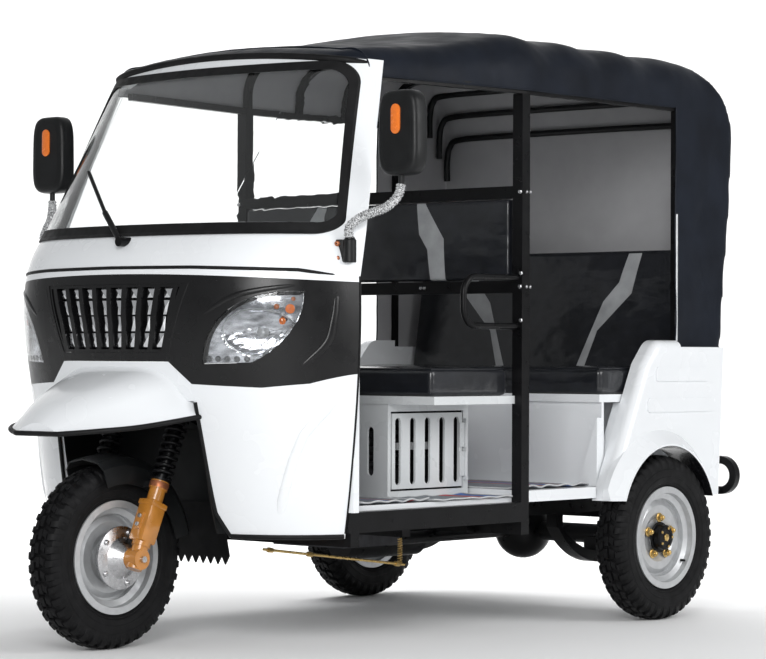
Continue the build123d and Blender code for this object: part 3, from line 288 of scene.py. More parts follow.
def surface(name):
    """The named material, made at its first use."""
    if name in Surface.made:
        return Surface.made[name]
    c = colours()
    if name == "body_white":
        s = Surface(name, Coat_Weight=0.5, Coat_Roughness=0.06)
        s.mottle(tuple(c.body_white), 0.018, 2.2).gloss(0.20, 0.30, 9.0)
        s.grain(s.noise(420.0, 1.0), 0.03, 0.0004)
    elif name == "quarter_white":
        s = Surface(name, Coat_Weight=0.5, Coat_Roughness=0.06)
        s.mottle(tuple(c.body_white), 0.018, 2.2).gloss(0.20, 0.30, 9.0)
        back = s.sum("SUBTRACT", s.along("Y"), REAR_HUB_LEFT.y)
        up = s.sum("SUBTRACT", s.along("Z"), ARCH_HEIGHT)
        squares = s.sum("ADD", s.sum("MULTIPLY", back, back), s.sum("MULTIPLY", up, up))
        s.stain(s.sum("LESS_THAN", squares, (ARCH_RADIUS + 0.0015) ** 2), (0.006, 0.006, 0.007))
    elif name == "black_paint":
        s = Surface(name, Specular_IOR_Level=0.18)
        s.mottle((0.0035, 0.0035, 0.004), 0.3, 14.0).gloss(0.26, 0.42, 30.0)
        s.grain(s.noise(520.0, 2.0), 0.08, 0.0005)
    elif name == "black_plastic":
        s = Surface(name, Specular_IOR_Level=0.28)
        s.mottle((0.006, 0.0065, 0.007), 0.25, 20.0).gloss(0.34, 0.48, 26.0)
        s.grain(s.noise(1500.0, 2.0), 0.15, 0.0004)
    elif name == "mask_black":
        s = Surface(name, Specular_IOR_Level=0.34)
        s.mottle((0.005, 0.005, 0.0055), 0.25, 8.0).gloss(0.24, 0.34, 18.0)
        s.grain(s.noise(900.0, 2.0), 0.05, 0.0003)
    elif name == "chrome":
        s = Surface(name, Metallic=1.0)
        s.mottle((0.80, 0.81, 0.83), 0.05, 16.0).gloss(0.05, 0.13, 30.0)
    elif name == "lamp_dish":
        s = Surface(name, Metallic=1.0)
        s.mottle((0.46, 0.47, 0.49), 0.45, 22.0, 1.0, (1.0, 1.0, 2.4)).gloss(0.08, 0.16, 40.0)
    elif name == "clear_glass":
        s = Surface(name, Transmission_Weight=1.0, IOR=1.45)
        s.mottle((0.955, 0.975, 0.97), 0.012, 1.6).gloss(0.0, 0.02, 3.0)
    elif name == "lamp_glass":
        s = Surface(name, Transmission_Weight=1.0, IOR=1.40)
        s.mottle((0.96, 0.97, 0.98), 0.01, 6.0).gloss(0.0, 0.03, 12.0)
    elif name == "rubber":
        s = Surface(name, Specular_IOR_Level=0.20)
        s.mottle((0.006, 0.006, 0.0065), 0.3, 30.0).gloss(0.45, 0.62, 40.0)
        s.grain(s.noise(700.0, 3.0), 0.15, 0.0006)
    elif name == "tyre":
        s = Surface(name, Specular_IOR_Level=0.15)
        s.mottle((0.006, 0.006, 0.0065), 0.35, 26.0, 5.0).gloss(0.50, 0.70, 34.0)
        s.grain(s.noise(600.0, 3.0), 0.2, 0.0006)
    elif name == "rim_silver":
        s = Surface(name, Metallic=0.55, Coat_Weight=0.2)
        s.mottle(tuple(c.silver), 0.07, 40.0).gloss(0.30, 0.44, 60.0)
        s.grain(s.noise(1800.0, 1.0), 0.06, 0.0003)
    elif name == "fork_orange":
        s = Surface(name, Coat_Weight=0.7, Coat_Roughness=0.05)
        s.mottle(tuple(c.fork), 0.12, 24.0).gloss(0.26, 0.38, 40.0)
        s.grain(s.noise(240.0, 2.0), 0.12, 0.0008)
    elif name == "gold_zinc":
        s = Surface(name, Metallic=0.9)
        s.mottle(tuple(c.gold), 0.22, 90.0).gloss(0.22, 0.38, 80.0)
    elif name == "copper":
        s = Surface(name, Metallic=0.7)
        s.mottle((0.36, 0.13, 0.06), 0.3, 120.0).gloss(0.35, 0.55, 90.0)
    elif name == "bright_steel":
        s = Surface(name, Metallic=1.0)
        s.mottle((0.56, 0.56, 0.57), 0.12, 70.0).gloss(0.20, 0.36, 60.0)
    elif name == "engine_alloy":
        s = Surface(name, Metallic=0.8)
        s.mottle((0.06, 0.06, 0.065), 0.2, 30.0).gloss(0.4, 0.6, 40.0)
        s.grain(s.noise(500.0, 3.0), 0.3, 0.0008)
    elif name == "seat_grey":
        s = Surface(name, Coat_Weight=0.3, Coat_Roughness=0.10)
        s.mottle((0.60, 0.62, 0.63), 0.03, 5.0).gloss(0.25, 0.36, 12.0)
        s.grain(s.noise(420.0, 1.0), 0.05, 0.0004)
    elif name == "seat_box_grey_shaded_inside":
        s = Surface(name, Coat_Weight=0.3, Coat_Roughness=0.10)
        s.mottle((0.60, 0.62, 0.63), 0.03, 5.0).gloss(0.25, 0.36, 12.0)
        # Painted shade: inside the box, below the seat board, the faces are painted near black for the shade
        # behind the door slots.
        across = s.within("X", SEAT_BOX_SKIN - SEAT_BOX_HALF, SEAT_BOX_HALF - SEAT_BOX_SKIN)
        deep = s.within("Y", SEAT_BOX_Y[0] + SEAT_BOX_SKIN, SEAT_BOX_Y[1] - SEAT_BOX_SKIN)
        flat = s.sum("LESS_THAN", s.along("Z"), 0.7095)
        s.stain(s.sum("MULTIPLY", s.sum("MULTIPLY", across, deep), flat), (0.008, 0.008, 0.009))
    elif name == "mat_rim":
        s = Surface(name)
        s.mottle((0.50, 0.51, 0.52), 0.12, 60.0).gloss(0.5, 0.7, 60.0)
    elif name == "floor_mat":
        s = Surface(name)
        s.mottle(tuple(c.mat), 0.22, 60.0, 5.0).gloss(0.62, 0.80, 60.0)
        s.grain(s.wave(160.0, "Y"), 0.35, 0.0012)
    elif name == "mat_blue":
        s = Surface(name)
        s.mottle((0.05, 0.13, 0.42), 0.2, 80.0).gloss(0.6, 0.78, 60.0)
    elif name == "mat_red":
        s = Surface(name)
        s.mottle((0.42, 0.03, 0.04), 0.2, 80.0).gloss(0.6, 0.78, 60.0)
    elif name == "hood_canvas":
        s = Surface(name, Specular_IOR_Level=0.12)
        s.mottle(tuple(c.canvas), 0.30, 7.0, 4.0).gloss(0.40, 0.58, 9.0)
        s.grain(s.noise(900.0, 2.0), 0.25, 0.0006)
    elif name == "hood_lining":
        s = Surface(name, Sheen_Weight=0.1)
        s.mottle(tuple(c.lining), 0.05, 9.0, 4.0).gloss(0.70, 0.86, 20.0)
        s.grain(s.noise(1100.0, 2.0), 0.3, 0.0006)
    elif name == "black_vinyl":
        s = Surface(name, Specular_IOR_Level=0.25, Coat_Weight=0.8, Coat_Roughness=0.08)
        s.mottle(tuple(c.vinyl), 0.3, 18.0).gloss(0.34, 0.52, 30.0)
        s.grain(s.noise(1300.0, 2.0), 0.2, 0.0004)
        s.grain(s.noise(7.0, 2.0, (1.0, 2.0, 1.6)), 0.6, 0.014, "Coat Normal")
    elif name == "insert_vinyl":
        s = Surface(name, Coat_Weight=0.8, Coat_Roughness=0.08)
        s.mottle(tuple(c.insert), 0.15, 18.0).gloss(0.34, 0.52, 30.0)
        s.grain(s.noise(1300.0, 2.0), 0.2, 0.0004)
        s.grain(s.noise(7.0, 2.0, (1.0, 2.0, 1.6)), 0.6, 0.014, "Coat Normal")
    elif name == "amber_lens":
        s = Surface(name, Coat_Weight=0.9, Coat_Roughness=0.04)
        s.mottle(tuple(c.amber), 0.06, 120.0).gloss(0.15, 0.28, 60.0)
    elif name == "red_lens":
        s = Surface(name, Coat_Weight=0.9, Coat_Roughness=0.04)
        s.mottle(tuple(c.red), 0.25, 90.0).gloss(0.12, 0.26, 60.0)
        s.grain(s.wave(220.0, "X"), 0.3, 0.001)
    elif name == "clear_sleeve":
        s = Surface(name, Coat_Weight=0.6, Coat_Roughness=0.1)
        threads = ((0.42, (0.03, 0.03, 0.03)), (0.55, (0.62, 0.63, 0.64)))
        net = s.ramp(s.noise(260.0, 2.0, (1.0, 1.0, 2.0)), threads)
        s.links.new(net, s.shader.inputs["Base Color"])
        s.gloss(0.25, 0.45, 60.0)
    elif name == "lamp_dot":
        s = Surface(name, Metallic=0.6)
        s.mottle((0.17, 0.175, 0.18), 0.35, 320.0).gloss(0.10, 0.30, 200.0)
    elif name == "mirror_glass":
        s = Surface(name, Metallic=1.0)
        s.mottle((0.86, 0.88, 0.90), 0.03, 4.0).gloss(0.01, 0.03, 6.0)
    elif name == "studio_floor":
        s = Surface(name)
        s.mottle((0.93, 0.93, 0.93), 0.008, 0.7).gloss(0.75, 0.85, 1.5)
    else:
        raise ValueError("no surface named " + name)
    return s.material


def paint(name, *nodes):
    """Gives CAD nodes a surface through their material slots."""
    material = surface(name)
    for node in nodes:
        item = NODES[node]
        if not item.material_slots:
            item.data.materials.append(material)
        for slot in item.material_slots:
            slot.material = material


# Forms

class Form:
    """Points and faces gathered into one piece; each face has the number of its surface."""

    def __init__(self):
        self.points = []
        self.faces = []
        self.kinds = []

    def add(self, points, faces, kind=0):
        start = len(self.points)
        self.points += [Vector(p) for p in points]
        self.faces += [[start + i for i in face] for face in faces]
        self.kinds += [kind] * len(faces)

    def grid(self, rows, kind=0, closed=False, looped=False):
        """Quads over rows of points; closed joins each row's ends, looped joins the last row to the first."""
        wide = len(rows[0])
        faces = []
        for i in range(len(rows) if looped else len(rows) - 1):
            below = (i + 1) % len(rows)
            for j in range(wide if closed else wide - 1):
                right = (j + 1) % wide
                faces.append((i * wide + j, i * wide + right, below * wide + right, below * wide + j))
        self.add([p for row in rows for p in row], faces, kind)

    def tube(self, path, radius, sides=12, kind=0, closed=False):
        """A round bar along a path; radius is one value or one for each point."""
        path = [Vector(p) for p in path]
        radii = radius if isinstance(radius, (list, tuple)) else [radius] * len(path)
        count = len(path)
        rows = []
        side = None
        for i, p in enumerate(path):
            if closed:
                along = path[(i + 1) % count] - path[i - 1]
            else:
                along = path[min(i + 1, count - 1)] - path[max(i - 1, 0)]
            along.normalize()
            if side is None:
                side = along.orthogonal().normalized()
            side = (side - along * side.dot(along)).normalized()
            other = along.cross(side)
            turns = [2.0 * math.pi * k / sides for k in range(sides)]
            rows.append([p + (side * math.cos(t) + other * math.sin(t)) * radii[i] for t in turns])
        self.grid(rows, kind, closed=True, looped=closed)
        if not closed:
            self.add(rows[0], [tuple(reversed(range(sides)))], kind)
            self.add(rows[-1], [tuple(range(sides))], kind)

    def spin(self, profile, centre, axis, steps=64, kind=0, closed=True):
        """A turned form; profile is (along the axis, radius) pairs."""
        axis = Vector(axis).normalized()
        side = axis.orthogonal().normalized()
        other = axis.cross(side)
        rows = []
        for k in range(steps):
            t = 2.0 * math.pi * k / steps
            out = side * math.cos(t) + other * math.sin(t)
            rows.append([Vector(centre) + axis * a + out * r for a, r in profile])
        self.grid(rows, kind, closed=closed, looped=True)

    def block(self, low, high, chamfer, kind=0, place=None):
        """A box with chamfered edges; place carries it from its own axes."""
        low = Vector(low)
        high = Vector(high)
        built = bmesh.new()
        bmesh.ops.create_cube(built, size=1.0)
        for v in built.verts:
            v.co = Vector((low[i] + (v.co[i] + 0.5) * (high[i] - low[i]) for i in range(3)))
        bmesh.ops.bevel(built, geom=built.edges[:], offset=chamfer, segments=2, profile=0.6, affect="EDGES")
        self.take(built, kind, place)

    def take(self, built, kind=0, place=None):
        """Takes the faces of a bmesh and frees it."""
        if place is not None:
            bmesh.ops.transform(built, matrix=place, verts=built.verts[:])
        built.verts.index_update()
        self.add([v.co.copy() for v in built.verts], [[v.index for v in f.verts] for f in built.faces], kind)
        built.free()

    def prism(self, outline, origin, across, up, depth, kind=0):
        """A flat outline in two axes, carried through depth."""
        origin = Vector(origin)
        near = [origin + Vector(across) * a + Vector(up) * b for a, b in outline]
        far = [p + Vector(depth) for p in near]
        count = len(near)
        faces = [tuple(range(count)), tuple(reversed(range(count, 2 * count)))]
        for i in range(count):
            faces.append((i, i + count, (i + 1) % count + count, (i + 1) % count))
        self.add(near + far, faces, kind)

    def nut(self, centre, axis, across, thick, kind=0, stud=0.0):
        """A hexagon nut with a domed stud end."""
        axis = Vector(axis).normalized()
        r = across / math.sqrt(3.0)
        self.spin([(0.0, r * 0.2), (0.0, r), (thick * 0.8, r), (thick, r * 0.86), (thick, r * 0.2)],
                  centre, axis, steps=6, kind=kind)
        s = across * 0.32
        top = thick + stud
        self.spin([(0.0, s * 0.3), (0.0, s), (top * 0.9, s), (top, s * 0.7), (top + 0.0005, s * 0.1)],
                  centre, axis, steps=12, kind=kind)

    def piece(self, name, surfaces, body, slot, crease=38.0):
        """Makes the object and lets it ride on a body."""
        mesh = bpy.data.meshes.new(name)
        mesh.from_pydata(self.points, [], self.faces)
        for i, face in enumerate(mesh.polygons):
            face.material_index = self.kinds[i]
        tidy = bmesh.new()
        tidy.from_mesh(mesh)
        bmesh.ops.recalc_face_normals(tidy, faces=tidy.faces[:])
        tidy.to_mesh(mesh)
        tidy.free()
        return settle(name, mesh, surfaces, body, crease)


def settle(name, mesh, surfaces, body, crease=38.0):
    """Links a mesh as a piece with its surfaces and body."""
    while len(mesh.materials) < len(surfaces):
        mesh.materials.append(None)
    for i, s in enumerate(surfaces):
        mesh.materials[i] = surface(s)
    mesh.shade_smooth()
    mesh.set_sharp_from_angle(angle=math.radians(crease))
    item = bpy.data.objects.new(name, mesh)
    bpy.context.scene.collection.objects.link(item)
    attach(item, body)
    return item


def evaluated(mesh, *modifiers):
    """The mesh after some modifiers, each a (type, settings) pair."""
    item = bpy.data.objects.new("working", mesh)
    bpy.context.scene.collection.objects.link(item)
    for kind, settings in modifiers:
        modifier = item.modifiers.new(kind.title(), kind)
        for key, value in settings.items():
            setattr(modifier, key, value)
    graph = bpy.context.evaluated_depsgraph_get()
    done = bpy.data.meshes.new_from_object(item.evaluated_get(graph))
    bpy.data.objects.remove(item)
    return done


def skin(*nodes):
    """A search tree over the faces of CAD nodes."""
    points = []
    faces = []
    for node in nodes:
        mesh = NODES[node].data
        start = len(points)
        points += [v.co.copy() for v in mesh.vertices]
        faces += [[start + i for i in p.vertices] for p in mesh.polygons]
    return BVHTree.FromPolygons(points, faces)


def laid(tree, places, start, toward):
    """Points and outward normals where rays through (x, y, z) places meet a skin."""
    found = []
    toward = Vector(toward).normalized()
    for place in places:
        hit, normal, _, _ = tree.ray_cast(Vector(place) - toward * start, toward)
        if hit is None:
            continue
        if normal.dot(toward) > 0.0:
            normal = -normal
        found.append((hit, normal))
    return found


def spread(points, step):
    """Points at even steps along a polyline."""
    points = [Vector(p) for p in points]
    out = [points[0]]
    for a, b in zip(points, points[1:]):
        count = max(1, round((b - a).length / step))
        out += [a.lerp(b, k / count) for k in range(1, count + 1)]
    return out


def smooth_path(points, steps):
    """A soft curve through points."""
    points = [Vector(p) for p in points]
    out = []
    for i in range(len(points) - 1):
        a = points[max(i - 1, 0)]
        b, c = points[i], points[i + 1]
        d = points[min(i + 2, len(points) - 1)]
        for k in range(steps):
            t = k / steps
            out.append(0.5 * ((2.0 * b) + (c - a) * t + (2.0 * a - 5.0 * b + 4.0 * c - d) * t * t
                              + (3.0 * b - a - 3.0 * c + d) * t * t * t))
    out.append(points[-1])
    return out


def bead(form, found, width, height, kind=0, bury=0.001, leaf=False):
    """A half-round strip along points on a skin, faded at both ends or over all its length."""
    rows = []
    last = len(found) - 1
    for i, (p, n) in enumerate(found):
        along = (found[min(i + 1, last)][0] - found[max(i - 1, 0)][0]).normalized()
        side = n.cross(along).normalized()
        end = min(1.0, (min(i, last - i) + 0.15) / 3.0)
        if leaf:
            end = math.sin(math.pi * (i + 0.2) / (last + 0.4)) ** 0.8
        row = []
        for k in range(9):
            t = math.pi * k / 8.0
            lift = math.sin(t) * height * end - bury
            row.append(p + side * (math.cos(t) * width * 0.5 * (0.4 + 0.6 * end)) + n * lift)
        rows.append(row)
    form.grid(rows, kind)


# Tyres

def tread_top(x):
    """Height of the tread over the wheel's axis at a place across it."""
    x = abs(x)
    marks = ((0.0, 0.0), (0.014, 0.0), (0.026, 0.001), (0.045, 0.007), (0.0535, 0.021), (0.0555, 0.034))
    for (a, da), (b, db) in zip(marks, marks[1:]):
        if x <= b:
            return TYRE_RADIUS - da - (db - da) * (x - a) / (b - a)
    return TYRE_RADIUS - marks[-1][1]


def tread_lug(form, hub, across, angles, skew, depth):
    """One lug over places across the tread, between two angles."""
    rows = []
    for i, x in enumerate(across):
        lean = skew * i / max(1, len(across) - 1)
        top = tread_top(x)
        row = []
        foot = top - depth
        for angle, r in ((angles[0], foot), (angles[0], top), (angles[1], top), (angles[1], foot)):
            pinch = 0.12 * (angles[1] - angles[0]) if r == top else 0.0
            turn = angle + lean + (pinch if angle == angles[0] else -pinch)
            row.append(hub + Vector((x, math.sin(turn) * r, math.cos(turn) * r)))
        rows.append(row)
    form.grid(rows)
    form.add(rows[0], [(0, 1, 2, 3)])
    form.add(rows[-1], [(3, 2, 1, 0)])


def road_tyre(node, hub, body):
    """A tyre with a ribbed sidewall and a block tread."""
    form = Form()
    h = TYRE_HALF
    top = TYRE_RADIUS
    depth = forms().tread_depth
    half = [(0.0307, 0.152), (0.0427, 0.152), (0.0435, 0.168), (0.0495, 0.1745), (0.0495, 0.1775),
            (0.0535, 0.182), (0.0550, 0.190), (0.0562, 0.196), (0.0572, 0.1965), (0.0572, 0.1995),
            (0.0564, 0.200), (h, 0.206), (0.0562, 0.219), (0.0568, 0.2195), (0.0566, 0.2225),
            (0.0556, 0.223), (0.0535, 0.236), (0.050, 0.246),
            (0.044, top - 0.0152), (0.026, top - 0.0092), (0.012, top - depth)]
    profile = [(-x, r) for x, r in half] + [(x, r) for x, r in reversed(half)]
    form.spin(profile, hub, X_AXIS, steps=96)
    count = forms().tread_pitch
    pitch = 2.0 * math.pi / count
    for k in range(count):
        a = pitch * k
        for side in (1.0, -1.0):
            shift = 0.0 if side > 0 else pitch * 0.5
            outer = [side * x for x in (0.0315, 0.040, 0.0475, 0.0530, 0.0555)]
            tread_lug(form, hub, outer, (a + shift, a + shift + pitch * 0.60), pitch * 0.16, depth)
            inner = [side * x for x in (0.0125, 0.0200, 0.0275)]
            span = (a + shift + pitch * 0.30, a + shift + pitch * 0.98)
            tread_lug(form, hub, inner, span, -pitch * 0.22, depth)
        sway = 0.0030 if k % 2 else -0.0030
        tread_lug(form, hub, (sway - 0.0068, sway, sway + 0.0068), (a, a + pitch * 0.94), 0.0, depth)
    piece = form.piece(node + "_tread", ["tyre"], body, "tyre", crease=30.0)
    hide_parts(node)


class RICKSHAW_OT_tyres(bpy.types.Operator):
    """Makes the three tyres with sidewall ribs and tread lugs"""

    bl_idname = "rickshaw.tyres"
    bl_label = "Tyres"

    def execute(self, context):
        road_tyre("front_tyre", FRONT_HUB, "front_wheel")
        road_tyre("rear_tyre_left", REAR_HUB_LEFT, "rear_wheel_left")
        road_tyre("rear_tyre_right", REAR_HUB_RIGHT, "rear_wheel_right")
        return {"FINISHED"}


# Wheels

def around(hub, radius, count, first=0.0):
    """Places round a hub in the plane of the wheel."""
    turns = [first + 2.0 * math.pi * k / count for k in range(count)]
    return [hub + Vector((0.0, math.sin(t) * radius, math.cos(t) * radius)) for t in turns]


def rear_wheel_fittings(side, hub, body, name):
    """Black hub cover, gold nuts and a valve for one rear wheel."""
    out = X_AXIS * side
    cover = Form()
    dome = [(0.0185, 0.010), (0.0185, 0.050), (0.0225, 0.050), (0.0245, 0.0475), (0.0245, 0.0415),
            (0.044, 0.0405), (0.0485, 0.036), (0.0490, 0.026), (0.0470, 0.0245), (0.0470, 0.006)]
    cover.spin(dome, hub, out, steps=48)
    for p in around(hub + out * 0.0485, 0.031, 5, 0.3):
        cover.nut(p, out, 0.0085, 0.0035, kind=1)
    cover.nut(hub + out * 0.0465, out, 0.022, 0.0045, kind=1)
    cover.piece(name + "_hub_cover", ["black_paint", "gold_zinc"], body, "black_paint")
    nuts = Form()
    washer = [(0.0, 0.004), (0.0, 0.0155), (0.003, 0.0155), (0.0036, 0.0145), (0.0036, 0.004)]
    for p in around(hub + out * 0.0180, 0.0640, 5):
        nuts.spin(washer, p, out, 24)
        nuts.nut(p + out * 0.003, out, 0.0205, 0.011, stud=0.007)
    valve = hub + Vector((side * 0.020, math.sin(2.2) * 0.137, math.cos(2.2) * 0.137))
    stem = [valve - out * 0.004, valve + out * 0.012, valve + out * 0.024]
    nuts.tube(stem, [0.0042, 0.0042, 0.0034], 10, kind=1)
    nuts.piece(name + "_nuts", ["gold_zinc", "rubber"], body, "bright_steel")


class RICKSHAW_OT_wheels(bpy.types.Operator):
    """Paints the rims and adds hub covers, nuts, bolts and valves"""

    bl_idname = "rickshaw.wheels"
    bl_label = "Wheels"

    def execute(self, context):
        paint("rim_silver", "front_rim", "rear_rim_left", "rear_rim_right")
        paint("bright_steel", "front_axle")
        rear_wheel_fittings(1.0, REAR_HUB_LEFT, "rear_wheel_left", "rear_left")
        rear_wheel_fittings(-1.0, REAR_HUB_RIGHT, "rear_wheel_right", "rear_right")
        return {"FINISHED"}


# Front fork

def fork_place(x, back, up):
    """A place in the fork's own axes."""
    return FRONT_HUB + X_AXIS * x + FORK_BACK * back + FORK_UP * up


LEG_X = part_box("fork_legs")[1].x - 0.0275
LEG_TOP = 0.238
SPRING_TOP = 0.432
SPRING_SEAT = 0.007


class RICKSHAW_OT_fork(bpy.types.Operator):
    """Makes coil springs and castings for the fork and paints the rest of it"""

    bl_idname = "rickshaw.fork"
    bl_label = "Front fork"

    def execute(self, context):
        paint("fork_orange", "fork_legs")
        paint("black_paint", "fork_yoke", "handlebar")
        paint("black_plastic", "fork_fender")
        springs = Form()
        turns = 8.0
        count = 260
        for side in (-1.0, 1.0):
            x = side * LEG_X
            springs.tube([fork_place(x, 0.0, LEG_TOP), fork_place(x, 0.0, SPRING_TOP)], 0.0165, 20)
            for low in (LEG_TOP, SPRING_TOP - SPRING_SEAT):
                high = low + SPRING_SEAT
                cup = [(low, 0.014), (low, 0.0325), (high, 0.0325), (high, 0.014)]
                springs.spin(cup, fork_place(x, 0.0, 0.0), FORK_UP, 32)
            path = []
            for k in range(count + 1):
                share = k / count
                ease = 0.5 - 0.5 * math.cos(math.pi * share)
                up = LEG_TOP + 0.012 + (SPRING_TOP - LEG_TOP - 0.024) * (0.82 * share + 0.18 * ease)
                turn = 2.0 * math.pi * turns * share
                path.append(fork_place(x + 0.0262 * math.cos(turn), 0.0262 * math.sin(turn), up))
            springs.tube(path, 0.0056, 10)
        piece = springs.piece("fork_coils", ["black_paint"], "steering", "black_paint")
        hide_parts("fork_springs")
        fittings = Form()
        for side in (-1.0, 1.0):
            base = fork_place(side * LEG_X, 0.0, 0.0)
            axes = Matrix.Translation(base) @ Matrix((X_AXIS, FORK_BACK, FORK_UP)).transposed().to_4x4()
            fittings.block((-0.0285, -0.0310, 0.050), (0.0285, 0.0290, 0.178), 0.009, place=axes)
            fittings.block((-0.0310, -0.0330, 0.158), (0.0310, 0.0310, 0.176), 0.006, place=axes)
            fittings.spin([(LEG_TOP - 0.021, 0.0270), (LEG_TOP - 0.021, 0.0285), (LEG_TOP - 0.005, 0.0290),
                           (LEG_TOP - 0.003, 0.0282), (LEG_TOP - 0.003, 0.0270)], base, FORK_UP, 32, kind=1)
            for up in (0.094, 0.120):
                spot = fork_place(side * LEG_X, -0.0355, up)
                fittings.nut(spot, -FORK_BACK, 0.012, 0.007, kind=2)
            plate = laid(skin("front_axle"), around(FRONT_HUB, 0.077, 5, 0.35), 0.5, X_AXIS * -side)
            dome = [(0.0, 0.002), (0.0, 0.0085), (0.003, 0.0082), (0.006, 0.0055), (0.007, 0.002)]
            for p, n in plate:
                fittings.spin(dome, p, n, 16, kind=2)
        fittings.piece("fork_fittings", ["fork_orange", "copper", "bright_steel"], "steering", "fork_orange")
        return {"FINISHED"}


# Shell

HEADER_CROWN = 1.768
HEADER_FALL = 0.062
DOOR_EDGE_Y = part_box("lower_cowl")[1].y
COWL_FOOT = 0.336

# Lines on the shell in the front view, as (x, z) on its left half
ARCH_EDGE = ((0.296, 0.722), (0.315, 0.402), (0.348, COWL_FOOT))
COWL_FOLD = ((0.628, 0.745), (0.596, 0.688), (0.562, 0.631), (0.537, 0.559), (0.513, 0.473), (0.492, 0.395))
MASK_SEAM = ((0.310, 1.087), (0.262, 0.958), (0.222, 0.849))

# Raised folds of the mask: line, width, height
MASK_FOLDS = (
    (((0.632, 1.031), (0.628, 0.959), (0.615, 0.888), (0.573, 0.822)), 0.026, 0.0060),
    (((0.348, 0.972), (0.447, 1.029), (0.574, 1.058)), 0.018, 0.0050))

# Rows of bright blades: low edge, high edge, width at the low edge, width at the high edge
GRILLE_BLADES = (
    (1.023, 1.050, 0.020, 0.026), (0.974, 1.015, 0.011, 0.019),
    (0.926, 0.969, 0.017, 0.008), (0.880, 0.920, 0.028, 0.021))

# Stations of the front mudguard: distance ahead of the axle, half width and height of its edge,
# half width and height of its shoulder, height of its crown
BEAK_SECTIONS = (
    (-0.150, 0.318, 0.690, 0.225, 0.862, 0.872), (0.090, 0.262, 0.655, 0.150, 0.764, 0.776),
    (0.200, 0.190, 0.642, 0.096, 0.708, 0.720), (0.270, 0.088, 0.632, 0.052, 0.652, 0.662))
BEAK_SKIN = 0.005


def beak_section(low_half, low, top_half, top, crown):
    """The mudguard's outline across the vehicle, from its right edge over the crown to its left edge."""
    foot = Vector((low_half, low))
    corner = Vector((top_half, top))
    side = foot.lerp(corner, 0.55)
    reach = 0.40
    roof = Vector((top_half * reach, top + (crown - top) * (1.0 - reach * reach)))
    pull = corner + (corner - side.lerp(roof, 0.5)) * 0.35
    half = [foot.lerp(side, k / 4.0) for k in range(4)]
    for k in range(13):
        t = k / 12.0
        half.append(side * (1.0 - t) ** 2 + pull * (2.0 * t * (1.0 - t)) + roof * t * t)
    for k in range(1, 5):
        x = roof.x * (1.0 - k / 4.0)
        half.append(Vector((x, top + (crown - top) * (1.0 - (x / top_half) ** 2))))
    return [Vector((-p.x, p.y)) for p in half] + list(reversed(half[:-1]))


def beak(front):
    """Makes the pressed front mudguard up to the shell and gives its lower edge."""
    places = smooth_path([s[:3] for s in BEAK_SECTIONS], 20)
    tops = smooth_path([s[3:] for s in BEAK_SECTIONS], 20)
    stations = []
    for (ahead, low_half, low), (top_half, top, crown) in reversed(list(zip(places, tops))):
        outline = beak_section(low_half, low, top_half, top, crown)
        stations.append([Vector((p.x, FRONT_HUB.y - ahead, p.y)) for p in outline])
    count = len(stations[0])
    ends = []
    for j in range(count):
        end = len(stations) - 1
        for i, station in enumerate(stations):
            hit = front.ray_cast(Vector((station[j].x, -3.0, station[j].z)), Y_AXIS)[0]
            if hit is not None and hit.y < station[j].y - 0.004:
                end = i
                break
        ends.append(end)
    rows = []
    for k in range(41):
        row = []
        for j in range(count):
            at = ends[j] * k / 40.0
            first = min(int(at), len(stations) - 2)
            row.append(stations[first][j].lerp(stations[first + 1][j], at - first))
        rows.append(row)
    rings = []
    for row in rows:
        inner = []
        for j, p in enumerate(row):
            run = row[min(j + 1, count - 1)] - row[max(j - 1, 0)]
            inner.append(p + Vector((run.z, 0.0, -run.x)).normalized() * BEAK_SKIN)
        rings.append(row + inner[::-1])
    form = Form()
    form.grid(rings, closed=True)
    form.add(rings[0][:count], [tuple(range(count))])
    wall = [(j, j + 1, 2 * count - 2 - j, 2 * count - 1 - j) for j in range(count - 1)]
    form.add(rings[-1], wall)
    piece = form.piece("mudguard_skin", ["body_white"], "body", "body_white", crease=50.0)
    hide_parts("front_mudguard")
    return [row[0] for row in reversed(rows)] + [row[-1] for row in rows]


def grille_x(place, z):
    """Where an upright of the grille stands at a height; place runs from -1 to 1 across it."""
    marks = ((0.840, 0.196, 0.0), (0.950, 0.226, 0.010), (1.080, 0.262, 0.0))
    (a, wide_a, add_a), (b, wide_b, add_b) = marks[:2] if z < marks[1][0] else marks[1:]
    share = (z - a) / (b - a)
    return place * (wide_a + (wide_b - wide_a) * share) + add_a + (add_b - add_a) * share


